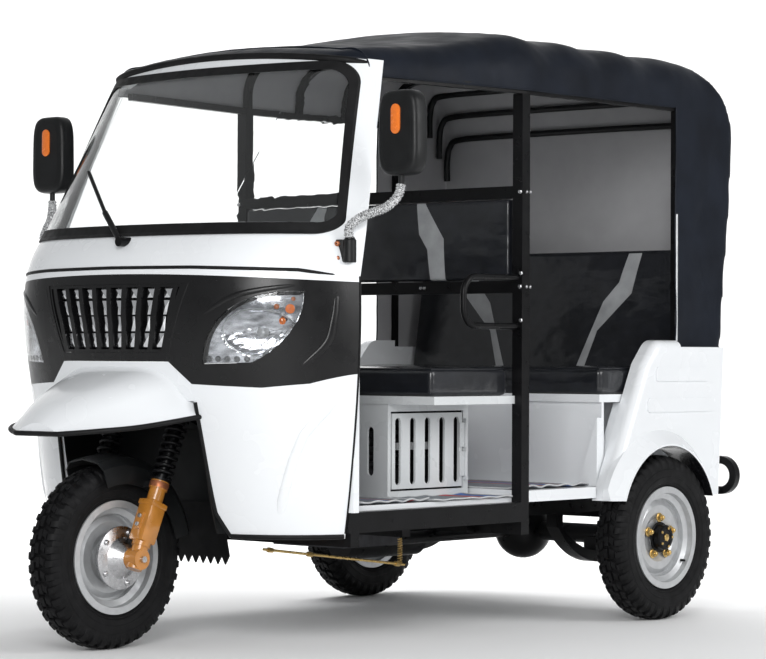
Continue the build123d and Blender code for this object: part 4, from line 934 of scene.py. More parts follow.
def grille():
    """Bright blades in the gaps of the grille, before a dark back plate."""
    tree = skin("grille_strips")
    heights = (0.890, 0.940, 0.990, 1.040)

    def strip_y(x, z):
        i = 0 if z < heights[1] else (1 if z < heights[2] else 2)
        near = laid(tree, [(x, 0.0, heights[i]), (x, 0.0, heights[i + 1])], 3.0, Y_AXIS)
        if len(near) < 2:
            return strip_y(x * 0.97, z)
        share = (z - heights[i]) / (heights[i + 1] - heights[i])
        return near[0][0].y + (near[1][0].y - near[0][0].y) * share

    form = Form()
    for i in range(8):
        place = -0.875 + 0.25 * i
        for low, high, low_wide, high_wide in GRILLE_BLADES:
            corners = []
            for z, wide in ((low, low_wide), (high, high_wide)):
                for sign in (-1.0, 1.0):
                    x = grille_x(place, z) + sign * wide / 2
                    corners.append(Vector((x, strip_y(x, z) - 0.0125, z)))
            a, b, d, c = corners
            middle = (a + b + c + d) / 4.0 - Y_AXIS * 0.003
            deep = [p + Y_AXIS * 0.010 for p in (a, b, c, d)]
            faces = [(0, 1, 4), (1, 2, 4), (2, 3, 4), (3, 0, 4), (0, 5, 6, 1), (1, 6, 7, 2), (2, 7, 8, 3),
                     (3, 8, 5, 0), (8, 7, 6, 5)]
            form.add([a, b, c, d, middle] + deep, faces)
    piece = form.piece("grille_blades", ["chrome"], "body", "chrome", crease=8.0)
    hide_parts("grille_strips")
    back = Form()
    rows = []
    for k in range(15):
        share = -1.0 + 2.0 * k / 14.0
        near = []
        for j in range(6):
            z = 0.858 + 0.210 * j / 5.0
            x = share * (0.221 + 0.069 * j / 5.0)
            near.append(Vector((x, strip_y(x * 0.93, z) + 0.012, z)))
        rows.append(near + [p + Y_AXIS * 0.002 for p in reversed(near)])
    back.grid(rows, closed=True)
    back.add(rows[0], [tuple(range(12))])
    back.add(rows[-1], [tuple(reversed(range(12)))])
    back.piece("grille_back", ["mask_black"], "body", "mask_black")


class RICKSHAW_OT_shell(bpy.types.Operator):
    """Paints the shell and adds its trim line, edgings and pressed creases"""

    bl_idname = "rickshaw.shell"
    bl_label = "Shell"

    def execute(self, context):
        paint("body_white", "windscreen_frame", "lower_cowl", "tail_panel", "floor_pan", "door_jambs")
        paint("quarter_white", "quarter_panels")
        paint("mask_black", "mask_panel", "grille_bars")
        paint("clear_glass", "windscreen_glass")
        paint("lamp_glass", "headlamp_lenses")
        paint("rubber", "windscreen_seal")
        paint("black_paint", "wiper")
        paint("black_plastic", "dashboard", "wheel_well")
        front = skin("windscreen_frame", "mask_panel", "lower_cowl")
        trim = Form()
        line = ((-0.640, 1.086), (-0.570, 1.101), (-0.30, 1.109), (0.0, 1.111), (0.30, 1.109), (0.570, 1.101),
                (0.640, 1.086))
        places = spread([(x, 0.0, z) for x, z in line], 0.02)
        bead(trim, laid(front, places, 3.0, Y_AXIS), 0.011, 0.0045)
        trim.tube(spread(beak(front), 0.02), 0.0075, 10)
        lip = []
        for k in range(61):
            x = -0.535 + 1.07 * k / 60.0
            lip.append((x, 0.0, HEADER_CROWN - HEADER_FALL * (x / 0.7) ** 2 - 0.010))
        bead(trim, laid(skin("windscreen_frame"), lip, 3.0, Y_AXIS), 0.022, 0.013)
        low_cowl = skin("lower_cowl")
        for side in (-1.0, 1.0):
            edging = []
            for k in range(47):
                z = 0.345 + 0.74 * k / 46.0
                hit = front.ray_cast(Vector((side * 1.5, DOOR_EDGE_Y - 0.006, z)), X_AXIS * -side)[0]
                if hit is not None:
                    edging.append(hit + Vector((side * 0.001, 0.005, 0.0)))
            trim.tube(edging, 0.0035, 8)
            found = laid(low_cowl, spread([(side * x, 0.0, z) for x, z in ARCH_EDGE], 0.02), 3.0, Y_AXIS)
            trim.tube([p for p, n in found], 0.0062, 8)
            foot = spread([(side * 0.350, 0.0, COWL_FOOT), (side * 0.575, 0.0, COWL_FOOT)], 0.02)
            found = laid(low_cowl, foot, 3.0, Y_AXIS)
            corner = found[-1][0].y + 0.015
            run = spread([(0.0, corner, COWL_FOOT), (0.0, DOOR_EDGE_Y - 0.006, COWL_FOOT)], 0.03)
            found += laid(low_cowl, run, 1.5, X_AXIS * -side)
            trim.tube([p for p, n in found], 0.0078, 8)
        trim.piece("shell_trim", ["rubber"], "body", "rubber")
        creases = Form()
        for side in (-1.0, 1.0):
            places = spread([(side * x, 0.0, z) for x, z in COWL_FOLD], 0.015)
            bead(creases, laid(front, places, 3.0, Y_AXIS), 0.030, 0.0050)
        creases.piece("cowl_creases", ["body_white"], "body", "body_white", crease=60.0)
        ridges = Form()
        for side in (-1.0, 1.0):
            for fold, width, height in MASK_FOLDS:
                places = smooth_path([(side * x, 0.0, z) for x, z in fold], 9)
                bead(ridges, laid(front, places, 3.0, Y_AXIS), width, height, leaf=True)
            seam = spread([(side * x, 0.0, z) for x, z in MASK_SEAM], 0.015)
            bead(ridges, laid(front, seam, 3.0, Y_AXIS), 0.005, 0.0022)
        ridges.piece("mask_ridges", ["mask_black"], "body", "mask_black", crease=60.0)
        grille()
        return {"FINISHED"}


# Hood

HOOD_SECTIONS = (
    (HOOD_LOW.y, 0.540, 1.690, 0.440, 1.768, 1.796),
    (0.1675, 0.622, 1.735, 0.505, 1.866, 1.900),
    (HOOD_HIGH.y, 0.632, 1.735, 0.512, 1.852, 1.888))
HOOD_EAVE = 1.684
FLAP_FRONT = 0.9535
FAR_FLAP_FRONT = FLAP_FRONT - 0.070
FLAP_LOW = 0.8903
BOW_PLACES = (HOOD_LOW.y, 0.1895, 0.4475, 0.7075, 0.9655, HOOD_HIGH.y)
CANVAS = 0.003
FLAP_HALF = 0.525

# Tubes across the hood's back: distance in from its rear, height
BACK_TUBES = ((0.038, 1.650), (0.083, 1.730), (0.138, 1.803))


def arc_through(a, b, c):
    """Centre and radius of the circle through three points."""
    (ax, ay), (bx, by), (cx, cy) = a, b, c
    d = 2.0 * (ax * (by - cy) + bx * (cy - ay) + cx * (ay - by))
    aa, bb, cc = ax * ax + ay * ay, bx * bx + by * by, cx * cx + cy * cy
    ux = (aa * (by - cy) + bb * (cy - ay) + cc * (ay - by)) / d
    uy = (aa * (cx - bx) + bb * (ax - cx) + cc * (bx - ax)) / d
    return ux, uy, math.hypot(ax - ux, ay - uy)


def hood_section(y):
    """Half of the hood's outline across the vehicle, from the low edge to the ridge."""
    stations = HOOD_SECTIONS
    first, second = (stations[0], stations[1]) if y < stations[1][0] else (stations[1], stations[2])
    share = (y - first[0]) / (second[0] - first[0])
    half, shoulder, top_half, top, crown = (a + (b - a) * share for a, b in zip(first[1:], second[1:]))
    rise = top - shoulder
    centre = (half * half - top_half * top_half - rise * rise) / (2.0 * (half - top_half))
    sweep = math.atan2(rise, top_half - centre)
    out = [(half, FLAP_LOW - 0.06), (half, shoulder)]
    for k in range(1, 13):
        t = sweep * k / 12.0
        out.append((centre + (half - centre) * math.cos(t), shoulder + (half - centre) * math.sin(t)))
    _, low, radius = arc_through((-top_half, top), (0.0, crown), (top_half, top))
    for k in range(1, 17):
        x = top_half * (1.0 - k / 16.0)
        out.append((x, low + math.sqrt(radius * radius - x * x)))
    return out


def hood_hull():
    """The hood's outside as one closed lump, before its openings are cut."""
    rear = HOOD_HIGH.y
    y0, z0, radius = arc_through((rear, 1.600), (rear - 0.075, 1.765), (rear - 0.290, 1.893))
    rows = []
    stations = [HOOD_LOW.y - 0.05 + (HOOD_HIGH.y - 0.290 - HOOD_LOW.y + 0.05) * k / 24.0 for k in range(25)]
    stations += [HOOD_HIGH.y - 0.290 * (1.0 - math.sin(0.5 * math.pi * k / 16.0)) for k in range(1, 17)]
    for y in stations:
        limit = 3.0
        if y > HOOD_HIGH.y - 0.290:
            limit = z0 + math.sqrt(max(0.0, radius * radius - (y - y0) ** 2))
        half = [(x, min(z, limit)) for x, z in hood_section(y)]
        ring = half + [(-x, z) for x, z in reversed(half[:-1])]
        lean = max(0.0, (y - FLAP_FRONT) / (HOOD_HIGH.y - FLAP_FRONT))
        rows.append([Vector((x, y - 0.078 * lean * max(0.0, 1.600 - z) / 0.770, z)) for x, z in ring])
    hull = Form()
    hull.grid(rows, closed=True)
    hull.add(rows[0], [tuple(range(len(rows[0])))])
    hull.add(rows[-1], [tuple(range(len(rows[-1])))])
    mesh = bpy.data.meshes.new("hood_hull")
    mesh.from_pydata(hull.points, [], hull.faces)
    tidy = bmesh.new()
    tidy.from_mesh(mesh)
    bmesh.ops.remove_doubles(tidy, verts=tidy.verts[:], dist=0.0004)
    bmesh.ops.recalc_face_normals(tidy, faces=tidy.faces[:])
    tidy.to_mesh(mesh)
    tidy.free()
    return mesh


def hood_drop(p):
    """How far the canvas lies in from the hull: sag between bows, folds in the flaps, fine slack."""
    sag = 0.0
    for a, b in zip(BOW_PLACES, BOW_PLACES[1:]):
        if a <= p.y <= b:
            share = (p.y - a) / (b - a)
            sag = math.sin(math.pi * share) ** 2
    sag *= forms().canvas_sag * min(1.0, max(0.0, (p.z - 1.55) / 0.25))
    low = min(1.0, max(0.0, (1.62 - p.z) / 0.35))
    edge = 1.0 - 0.6 * min(1.0, max(0.0, (FLAP_LOW + 0.05 - p.z) / 0.05))
    wave = noise.noise(Vector((p.x * 5.5, p.y * 9.0 + p.z * 2.6, p.z * 2.2)))
    ridged = 1.0 - abs(noise.noise(Vector((p.x * 4.0 + 7.0, p.y * 6.5 - p.z * 3.4, p.z * 3.0)))) * 2.2
    fold = forms().canvas_fold * (0.55 * wave + 0.45 * ridged) * low * edge
    slack = 0.0016 * noise.noise(p * 9.0) + 0.0009 * noise.noise(p * 23.0)
    return sag + fold + slack


def chained(pairs):
    """Closed runs of points from loose edges."""
    joins = {}
    places = {}
    for a, b in pairs:
        ka, kb = tuple(round(c, 6) for c in a), tuple(round(c, 6) for c in b)
        places[ka], places[kb] = a, b
        joins.setdefault(ka, []).append(kb)
        joins.setdefault(kb, []).append(ka)
    loops = []
    left = set(joins)
    for first in sorted(joins):
        if first not in left:
            continue
        run = [first]
        left.discard(first)
        while True:
            onward = [k for k in joins[run[-1]] if k in left]
            if not onward:
                break
            run.append(onward[0])
            left.discard(onward[0])
        if len(run) > 20:
            loops.append([places[k] for k in run])
    return loops


def front_flap():
    """The strip of canvas from the hood's front edge down to the header over the windscreen."""
    header = skin("windscreen_frame")
    edge = sorted((x, z) for x, z in hood_section(HOOD_LOW.y)[1:])
    rows = []
    for k in range(73):
        x = FLAP_HALF * (-1.0 + 2.0 * k / 72.0)
        top = edge[0][1]
        for (ax, az), (bx, bz) in zip(edge, edge[1:]):
            if ax <= abs(x) <= bx and bx > ax:
                top = az + (bz - az) * (abs(x) - ax) / (bx - ax)
        low = laid(header, [(x, 0.0, HEADER_CROWN - HEADER_FALL * (x / 0.7) ** 2 - 0.010)], 3.0, Y_AXIS)
        if not low:
            continue
        start = Vector((x, HOOD_LOW.y + 0.012, top - 0.0025))
        end = low[0][0] + Vector((0.0, 0.002, 0.010))
        row = []
        for j in range(9):
            share = j / 8.0
            crown = 0.006 * math.sin(math.pi * share) + 0.0012 * noise.noise(Vector((x * 9.0, share, 2.0)))
            row.append(start.lerp(end, share) + Vector((0.0, -0.4, 0.9)) * crown)
        rows.append(row)
    form = Form()
    inward = Vector((0.0, 0.4, -0.9)) * CANVAS
    rings = [row + [p + inward for p in reversed(row)] for row in rows]
    form.grid(rings, closed=True)
    form.add(rings[0], [tuple(range(18))])
    form.add(rings[-1], [tuple(reversed(range(18)))])
    piece = form.piece("hood_front_flap", ["hood_canvas"], "body", "hood_canvas", crease=70.0)


class RICKSHAW_OT_hood(bpy.types.Operator):
    """Makes the canvas hood as one lined sheet with a hem, and paints its bows"""

    bl_idname = "rickshaw.hood"
    bl_label = "Hood"

    def execute(self, context):
        paint("black_paint", "hood_bows", "hood_rails")
        voxel = forms().canvas_voxel
        mesh = evaluated(hood_hull(), ("REMESH", {"mode": "VOXEL", "voxel_size": voxel}),
                         ("SMOOTH", {"factor": 0.5, "iterations": 6}))
        cut = bmesh.new()
        cut.from_mesh(mesh)
        for axis, at, clear in ((Y_AXIS, HOOD_LOW.y, True), (Z_AXIS, FLAP_LOW, True),
                                (Z_AXIS, HOOD_EAVE, False), (Y_AXIS, FLAP_FRONT, False),
                                (Y_AXIS, FAR_FLAP_FRONT, False)):
            bmesh.ops.bisect_plane(cut, geom=cut.verts[:] + cut.edges[:] + cut.faces[:], dist=0.0008,
                                   plane_co=axis * at, plane_no=-axis, clear_outer=clear)
        gone = []
        for face in cut.faces:
            at = face.calc_center_median()
            edge = FLAP_FRONT if at.x > 0.0 else FAR_FLAP_FRONT
            if at.y < edge and at.z < HOOD_EAVE:
                gone.append(face)
        bmesh.ops.delete(cut, geom=gone, context="FACES")
        cut.normal_update()
        moves = [(v, v.normal.copy() * (-hood_drop(v.co) - 0.0005)) for v in cut.verts]
        for v, move in moves:
            v.co += move
        bmesh.ops.recalc_face_normals(cut, faces=cut.faces[:])
        area = sum(face.calc_area() for face in cut.faces)
        rims = []
        for edge in cut.edges:
            if edge.is_boundary:
                rims.append((edge.verts[0].co.copy(), edge.verts[1].co.copy()))
        cut.to_mesh(mesh)
        cut.free()
        mesh.materials.append(surface("hood_canvas"))
        mesh.materials.append(surface("hood_lining"))
        lined = evaluated(mesh, ("SOLIDIFY", {"thickness": CANVAS, "offset": -1.0, "material_offset": 1,
                                              "material_offset_rim": 0}))
        cloths = ["hood_canvas", "hood_lining"]
        piece = settle("hood_sheet", lined, cloths, "body", crease=70.0)
        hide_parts("hood_canopy")
        hem = Form()
        for loop in chained(rims):
            hem.tube(loop, 0.0026, 8, closed=True)
        rod_top = Vector((HOOD_HIGH.x - 0.004, FLAP_FRONT + 0.004, 1.330))
        rod_low = Vector((HOOD_HIGH.x - 0.004, FLAP_FRONT + 0.004, FLAP_LOW + 0.02))
        hem.tube(spread([rod_low, rod_top], 0.05), 0.0045, 10, kind=1)
        hem.piece("hood_hem", ["hood_canvas", "rim_silver"], "body", "hood_canvas")
        front_flap()
        tubes = Form()
        for inset, z in BACK_TUBES:
            y = HOOD_HIGH.y - inset
            bend = [(-0.604, y, z - 0.150), (-0.604, y, z - 0.075), (-0.590, y, z - 0.022), (-0.540, y, z),
                    (-0.300, y, z + 0.004)]
            run = bend + [(0.0, y, z + 0.005)] + [(-a, b, c) for a, b, c in reversed(bend)]
            tubes.tube(smooth_path(run, 6), 0.011, 14)
        tubes.piece("hood_back_tubes", ["black_plastic"], "body", "black_paint")
        return {"FINISHED"}


# Seats

def cushion_block(low, high, chamfer):
    """A chamfered block as a mesh, ready for the cloth."""
    form = Form()
    form.block(low, high, chamfer)
    mesh = bpy.data.meshes.new("cushion")
    mesh.from_pydata(form.points, [], form.faces)
    return mesh


def swell(mesh, name, pinned, pressure):
    """Blows a cover up a little with the cloth solver; pinned(p) is 1 where it is held."""
    voxel = forms().cushion_voxel
    base = evaluated(mesh, ("REMESH", {"mode": "VOXEL", "voxel_size": voxel}))
    rest = [v.co.copy() for v in base.vertices]
    item = bpy.data.objects.new(name + "_cloth", base)
    bpy.context.scene.collection.objects.link(item)
    group = item.vertex_groups.new(name="held")
    for v in base.vertices:
        hold = pinned(v.co)
        if hold > 0.0:
            group.add([v.index], hold, "REPLACE")
    cloth = item.modifiers.new("Cloth", "CLOTH")
    settings = cloth.settings
    settings.quality = 4
    settings.mass = 0.4
    settings.use_pressure = True
    settings.uniform_pressure_force = pressure
    settings.tension_stiffness = 20.0
    settings.compression_stiffness = 20.0
    settings.shear_stiffness = 10.0
    settings.bending_stiffness = 2.0
    settings.vertex_group_mass = "held"
    settings.effector_weights.gravity = 0.0
    cloth.collision_settings.use_collision = False
    cloth.point_cache.frame_start = 1
    cloth.point_cache.frame_end = 20
    scene = bpy.context.scene
    for step in range(1, 21):
        scene.frame_set(step)
    graph = bpy.context.evaluated_depsgraph_get()
    done = bpy.data.meshes.new_from_object(item.evaluated_get(graph))
    bpy.data.objects.remove(item)
    scene.frame_set(1)
    cap = forms().cushion_rise
    for v, before in zip(done.vertices, rest):
        move = v.co - before
        if move.length > cap:
            move *= cap / move.length
        v.co = before + move
    return done


def cut_insert(mesh, outline, along, facing):
    """Cuts an outline in x and z into a cover and gives its faces the second surface."""
    cut = bmesh.new()
    cut.from_mesh(mesh)
    count = len(outline)
    for i in range(count):
        (ax, az), (bx, bz) = outline[i], outline[(i + 1) % count]
        a = Vector((ax, 0.0, az))
        run = Vector((bx - ax, 0.0, bz - az))
        near = [f for f in cut.faces if f.normal.dot(facing) > 0.2]
        geom = list({v for f in near for v in f.verts}) + list({e for f in near for e in f.edges}) + near
        across = run.cross(along).normalized()
        bmesh.ops.bisect_plane(cut, geom=geom, dist=0.0003, plane_co=a, plane_no=across)
        cut.normal_update()
    for face in cut.faces:
        at = face.calc_center_median()
        if face.normal.dot(facing) > 0.2 and inside(outline, at.x, at.z):
            face.material_index = 1
    cut.to_mesh(mesh)
    cut.free()


def inside(outline, x, z):
    """Whether a place lies in a closed outline."""
    found = False
    count = len(outline)
    for i in range(count):
        (ax, az), (bx, bz) = outline[i], outline[(i + 1) % count]
        if (az > z) != (bz > z) and x < ax + (bx - ax) * (z - az) / (bz - az):
            found = not found
    return found


def welt(form, tree, places, toward, radius, kind=0):
    """A piping cord laid on a cover."""
    found = laid(tree, places, 0.6, toward)
    if len(found) > 2:
        form.tube([p + n * radius * 0.35 for p, n in found], radius, 8, kind)


def tree_of(mesh):
    """A search tree over the faces of a mesh."""
    points = [v.co.copy() for v in mesh.vertices]
    return BVHTree.FromPolygons(points, [list(p.vertices) for p in mesh.polygons])


# Grey inserts of the backrests in the front view, and the rear backrest's section from its front foot
DRIVER_INSERT = (
    (0.191, 1.348), (0.223, 1.348), (0.308, 1.228), (0.311, 1.092), (0.249, 1.092), (0.240, 1.195),
    (0.206, 1.244))
REAR_INSERT = (
    (0.334, 1.210), (0.389, 1.210), (0.366, 1.073), (0.235, 0.946), (0.186, 0.80), (0.150, 0.80),
    (0.249, 1.046), (0.308, 1.111))
REAR_BACK_SECTION = ((0.0, 0.735), (0.080, 1.222), (0.146, 1.210), (0.102, 0.735))


class RICKSHAW_OT_seats(bpy.types.Operator):
    """Makes the seat cushions and backrests as swollen vinyl covers with piping and inserts"""

    bl_idname = "rickshaw.seats"
    bl_label = "Seats"

    def execute(self, context):
        pressure = forms().cushion_pressure
        for node in ("driver_cushion", "rear_cushion"):
            low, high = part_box(node)
            top = high.z - 0.006
            mesh = cushion_block((low.x + 0.004, low.y + 0.004, low.z),
                                 (high.x - 0.004, high.y - 0.004, top), 0.016)

            def held(p, low=low, high=high, top=top):
                """How firmly the cover is held at a place, from 0 to 1."""
                if p.z < low.z + 0.012:
                    return 1.0
                rim = min(p.x - low.x, high.x - p.x, p.y - low.y, high.y - p.y)
                return 0.85 if rim < 0.022 and p.z > top - 0.022 else 0.0

            done = swell(mesh, node, held, pressure)
            piece = settle(node + "_cover", done, ["black_vinyl"], "body", crease=80.0)
            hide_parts(node)
            tree = tree_of(done)
            piping = Form()
            inset = 0.016
            right, left = low.x + inset, high.x - inset
            front, back = low.y + inset, high.y - inset
            ring = [(right, front), (left, front), (left, back), (right, back), (right, front)]
            welt(piping, tree, spread([(x, y, top) for x, y in ring], 0.012), -Z_AXIS, 0.0035)
            piping.piece(node + "_piping", ["black_vinyl"], "body", "black_vinyl")
        low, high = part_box("driver_backrest")
        mesh = cushion_block((low.x + 0.003, low.y + 0.003, low.z + 0.003),
                             (high.x - 0.003, high.y, high.z - 0.003), 0.010)

        def held_back(p):
            """How firmly the cover is held at a place, from 0 to 1."""
            rim = min(p.x - low.x, high.x - p.x, p.z - low.z, high.z - p.z)
            return 1.0 if p.y > high.y - 0.008 or rim < 0.014 else 0.0

        done = swell(mesh, "driver_backrest", held_back, pressure)
        for side in (1.0, -1.0):
            cut_insert(done, [(side * x, z) for x, z in DRIVER_INSERT], Y_AXIS, -Y_AXIS)
        covers = ["black_vinyl", "insert_vinyl"]
        piece = settle("driver_backrest_cover", done, covers, "body", crease=80.0)
        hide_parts("driver_backrest")
        low_r, high_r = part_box("rear_backrest")
        outline = [(low_r.y + back, z) for back, z in REAR_BACK_SECTION]
        form = Form()
        wide = X_AXIS * (high_r.x - low_r.x - 0.008)
        form.prism(outline, (low_r.x + 0.004, 0.0, 0.0), Y_AXIS, Z_AXIS, wide)
        mesh = bpy.data.meshes.new("rear_back")
        mesh.from_pydata(form.points, [], form.faces)
        shaped = bmesh.new()
        shaped.from_mesh(mesh)
        bmesh.ops.recalc_face_normals(shaped, faces=shaped.faces[:])
        bmesh.ops.bevel(shaped, geom=shaped.edges[:], offset=0.016, segments=3, profile=0.6, affect="EDGES")
        shaped.to_mesh(mesh)
        shaped.free()
        lean = Vector((0.0, 0.487, -0.080)).normalized()

        def held_rear(p):
            """How firmly the cover is held at a place, from 0 to 1."""
            depth = (p - Vector((0.0, low_r.y, 0.735))).dot(lean)
            rim = min(p.x - low_r.x, high_r.x - p.x, p.z - low_r.z, high_r.z - p.z)
            return 1.0 if depth > 0.045 or rim < 0.020 else 0.0

        done = swell(mesh, "rear_backrest", held_rear, pressure)
        for side in (1.0, -1.0):
            cut_insert(done, [(side * x, z) for x, z in REAR_INSERT], Y_AXIS, -Y_AXIS)
        piece = settle("rear_backrest_cover", done, covers, "body", crease=80.0)
        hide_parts("rear_backrest")
        return {"FINISHED"}


# Cab and underside

# Outline from the side of the plates that close the bench's ends, and the two ends of the brake rod
BENCH_PLATE = ((0.5725, 0.445), (0.7020, 0.708), (0.7100, 0.708), (0.5805, 0.445))
BRAKE_ROD = ((0.300, -0.6776, 0.2864), (0.300, -0.0395, 0.2069))


class RICKSHAW_OT_cab(bpy.types.Operator):
    """Paints the cab frame, seat box and underside"""

    bl_idname = "rickshaw.cab"
    bl_label = "Cab and underside"

    def execute(self, context):
        paint("black_paint", "cab_posts", "bulkhead_rails", "grab_handles", "chassis_rails",
              "chassis_crossmembers", "headstock", "rear_bumper", "rear_axle", "leaf_springs", "exhaust")
        # The seat box's grey carries painted shade on the faces inside the box.
        paint("seat_box_grey_shaded_inside", "seat_box", "seat_box_door")
        paint("body_white", "rear_bench")
        paint("engine_alloy", "engine_block")
        paint("red_lens", "tail_lamps")
        paint("rubber", "mud_flap")
        bolts = Form()
        low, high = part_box("bulkhead_rails")
        posts_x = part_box("cab_posts")[1].x
        for side in (-1.0, 1.0):
            for z in (low.z + 0.019, high.z - 0.019):
                for y in (low.y + 0.010, high.y - 0.010):
                    bolts.nut(Vector((side * posts_x, y, z)), X_AXIS * side, 0.010, 0.005)
                bolts.nut(Vector((side * (posts_x - 0.014), low.y, z)), -Y_AXIS, 0.012, 0.006)
            for z in (0.952, 1.098):
                bolts.nut(Vector((side * (posts_x - 0.010), low.y, z + 0.017)), -Y_AXIS, 0.011, 0.006)
        for x in (-0.22, -0.205, 0.205, 0.22):
            bolts.nut(Vector((x, low.y, low.z + 0.019)), -Y_AXIS, 0.010, 0.005)
        bolts.piece("cab_bolts", ["bright_steel"], "body", "bright_steel")
        bar = Form()
        y0 = SEAT_BOX_Y[0] + 0.0865
        bar.block((0.352, y0, 0.567), (0.366, y0 + 0.155, 0.590), 0.003)
        bar.piece("seat_box_bar", ["seat_grey"], "body", "seat_grey")
        sides = Form()
        for x in (-0.600, 0.560):
            sides.prism(BENCH_PLATE, (x, 0.0, 0.0), Y_AXIS, Z_AXIS, X_AXIS * 0.040)
        sides.piece("bench_side_plates", ["body_white"], "body", "body_white")
        rods = Form()
        front_end, rear_end = (Vector(p) for p in BRAKE_ROD)
        rods.tube(spread([front_end, rear_end], 0.06), 0.0042, 10)
        for share in (0.03, 0.30, 0.93):
            rods.nut(front_end.lerp(rear_end, share), rear_end - front_end, 0.014, 0.022)
        coil = []
        for k in range(121):
            turn = 2.0 * math.pi * 10.0 * k / 120.0
            across, along = 0.007 * math.cos(turn), 0.007 * math.sin(turn)
            coil.append((rear_end.x + across, -0.061 + along, 0.215 + 0.075 * k / 120.0))
        rods.tube(coil, 0.0016, 6)
        rods.piece("brake_rod", ["gold_zinc"], "body", "bright_steel")
        return {"FINISHED"}


# Floor mats

def floor_mat(name, low, high, stripes, wave=0.011):
    """A laid mat with a rippled edge, woven stripes along it and a pale bound edge."""
    form = Form()
    across, along = 96, 34
    for j in range(along):
        row_kind = 0
        share = (j + 0.5) / along
        for first, last, kind in stripes:
            if first < share < last:
                row_kind = kind
        rows = []
        for step in (j, j + 1):
            y = low.y + (high.y - low.y) * step / along
            row = []
            for i in range(across + 1):
                x = low.x + (high.x - low.x) * i / across
                rim = max(0.0, 1.0 - min(x - low.x, high.x - x) / 0.055)
                ripple = 0.5 + 0.5 * noise.noise(Vector((x * 3.0, y * 21.0, 0.0))) + 0.25 * math.sin(y * 74.0)
                lift = 0.0045 + wave * rim * rim * max(0.0, ripple)
                lift += 0.0012 * noise.noise(Vector((x * 11.0, y * 11.0, 3.0)))
                row.append(Vector((x, y, low.z + lift)))
            rows.append(row)
        form.grid(rows, row_kind)
    mesh = bpy.data.meshes.new(name)
    mesh.from_pydata(form.points, [], form.faces)
    for i, face in enumerate(mesh.polygons):
        face.material_index = form.kinds[i]
    for s in ("floor_mat", "mat_blue", "mat_red"):
        mesh.materials.append(surface(s))
    welded = bmesh.new()
    welded.from_mesh(mesh)
    bmesh.ops.remove_doubles(welded, verts=welded.verts[:], dist=0.0002)
    bmesh.ops.recalc_face_normals(welded, faces=welded.faces[:])
    edges = [(e.verts[0].co.copy(), e.verts[1].co.copy()) for e in welded.edges if e.is_boundary]
    welded.to_mesh(mesh)
    welded.free()
    thick = evaluated(mesh, ("SOLIDIFY", {"thickness": 0.004, "offset": -1.0}))
    piece = settle(name, thick, ["floor_mat", "mat_blue", "mat_red"], "body")
    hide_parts("floor_mats")
    binding = Form()
    for loop in chained(edges):
        binding.tube([p - Z_AXIS * 0.0012 for p in loop], 0.0028, 6, closed=True)
    binding.piece(name + "_binding", ["mat_rim"], "body", "floor_mat")


class RICKSHAW_OT_mats(bpy.types.Operator):
    """Lays the striped floor mats"""

    bl_idname = "rickshaw.mats"
    bl_label = "Floor mats"

    def execute(self, context):
        low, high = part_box("floor_mats")
        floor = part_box("floor_pan")
        front_high = Vector((high.x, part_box("seat_box")[0].y - 0.004, 0.0))
        floor_mat("mat_front", Vector((low.x, low.y, 0.420)), front_high, ((0.70, 0.73, 1), (0.79, 0.82, 2)))
        rear_low = Vector((low.x + 0.010, 0.1915, floor[1].z))
        rear_high = Vector((high.x - 0.010, high.y, 0.0))
        floor_mat("mat_rear", rear_low, rear_high, ((0.58, 0.66, 2), (0.70, 0.76, 1), (0.84, 0.88, 2)))
        wide = 0.181
        for side, x_low in (("right", -SEAT_BOX_HALF - 0.004 - wide), ("left", SEAT_BOX_HALF + 0.004)):
            side_low = Vector((x_low, SEAT_BOX_Y[0] - 0.002, 0.420))
            side_high = Vector((x_low + wide, SEAT_BOX_Y[1] - 0.009, 0.0))
            floor_mat("mat_side_" + side, side_low, side_high, ((0.62, 0.74, 2), (0.78, 0.92, 1)), 0.004)
        return {"FINISHED"}


# Mirrors

MIRROR_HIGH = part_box("mirrors")[1]
MIRROR_X = 0.742
MIRROR_Y = MIRROR_HIGH.y - 0.026
HEAD_TALL = 0.247
HEAD_WIDE = 0.150
HEAD_THICK = 0.052


def rounded(half_x, half_z, power, count):
    """A soft-cornered outline about a middle."""
    out = []
    for k in range(count):
        t = 2.0 * math.pi * k / count
        c, s = math.cos(t), math.sin(t)
        out.append((half_x * math.copysign(abs(c) ** (2.0 / power), c),
                    half_z * math.copysign(abs(s) ** (2.0 / power), s)))
    return out


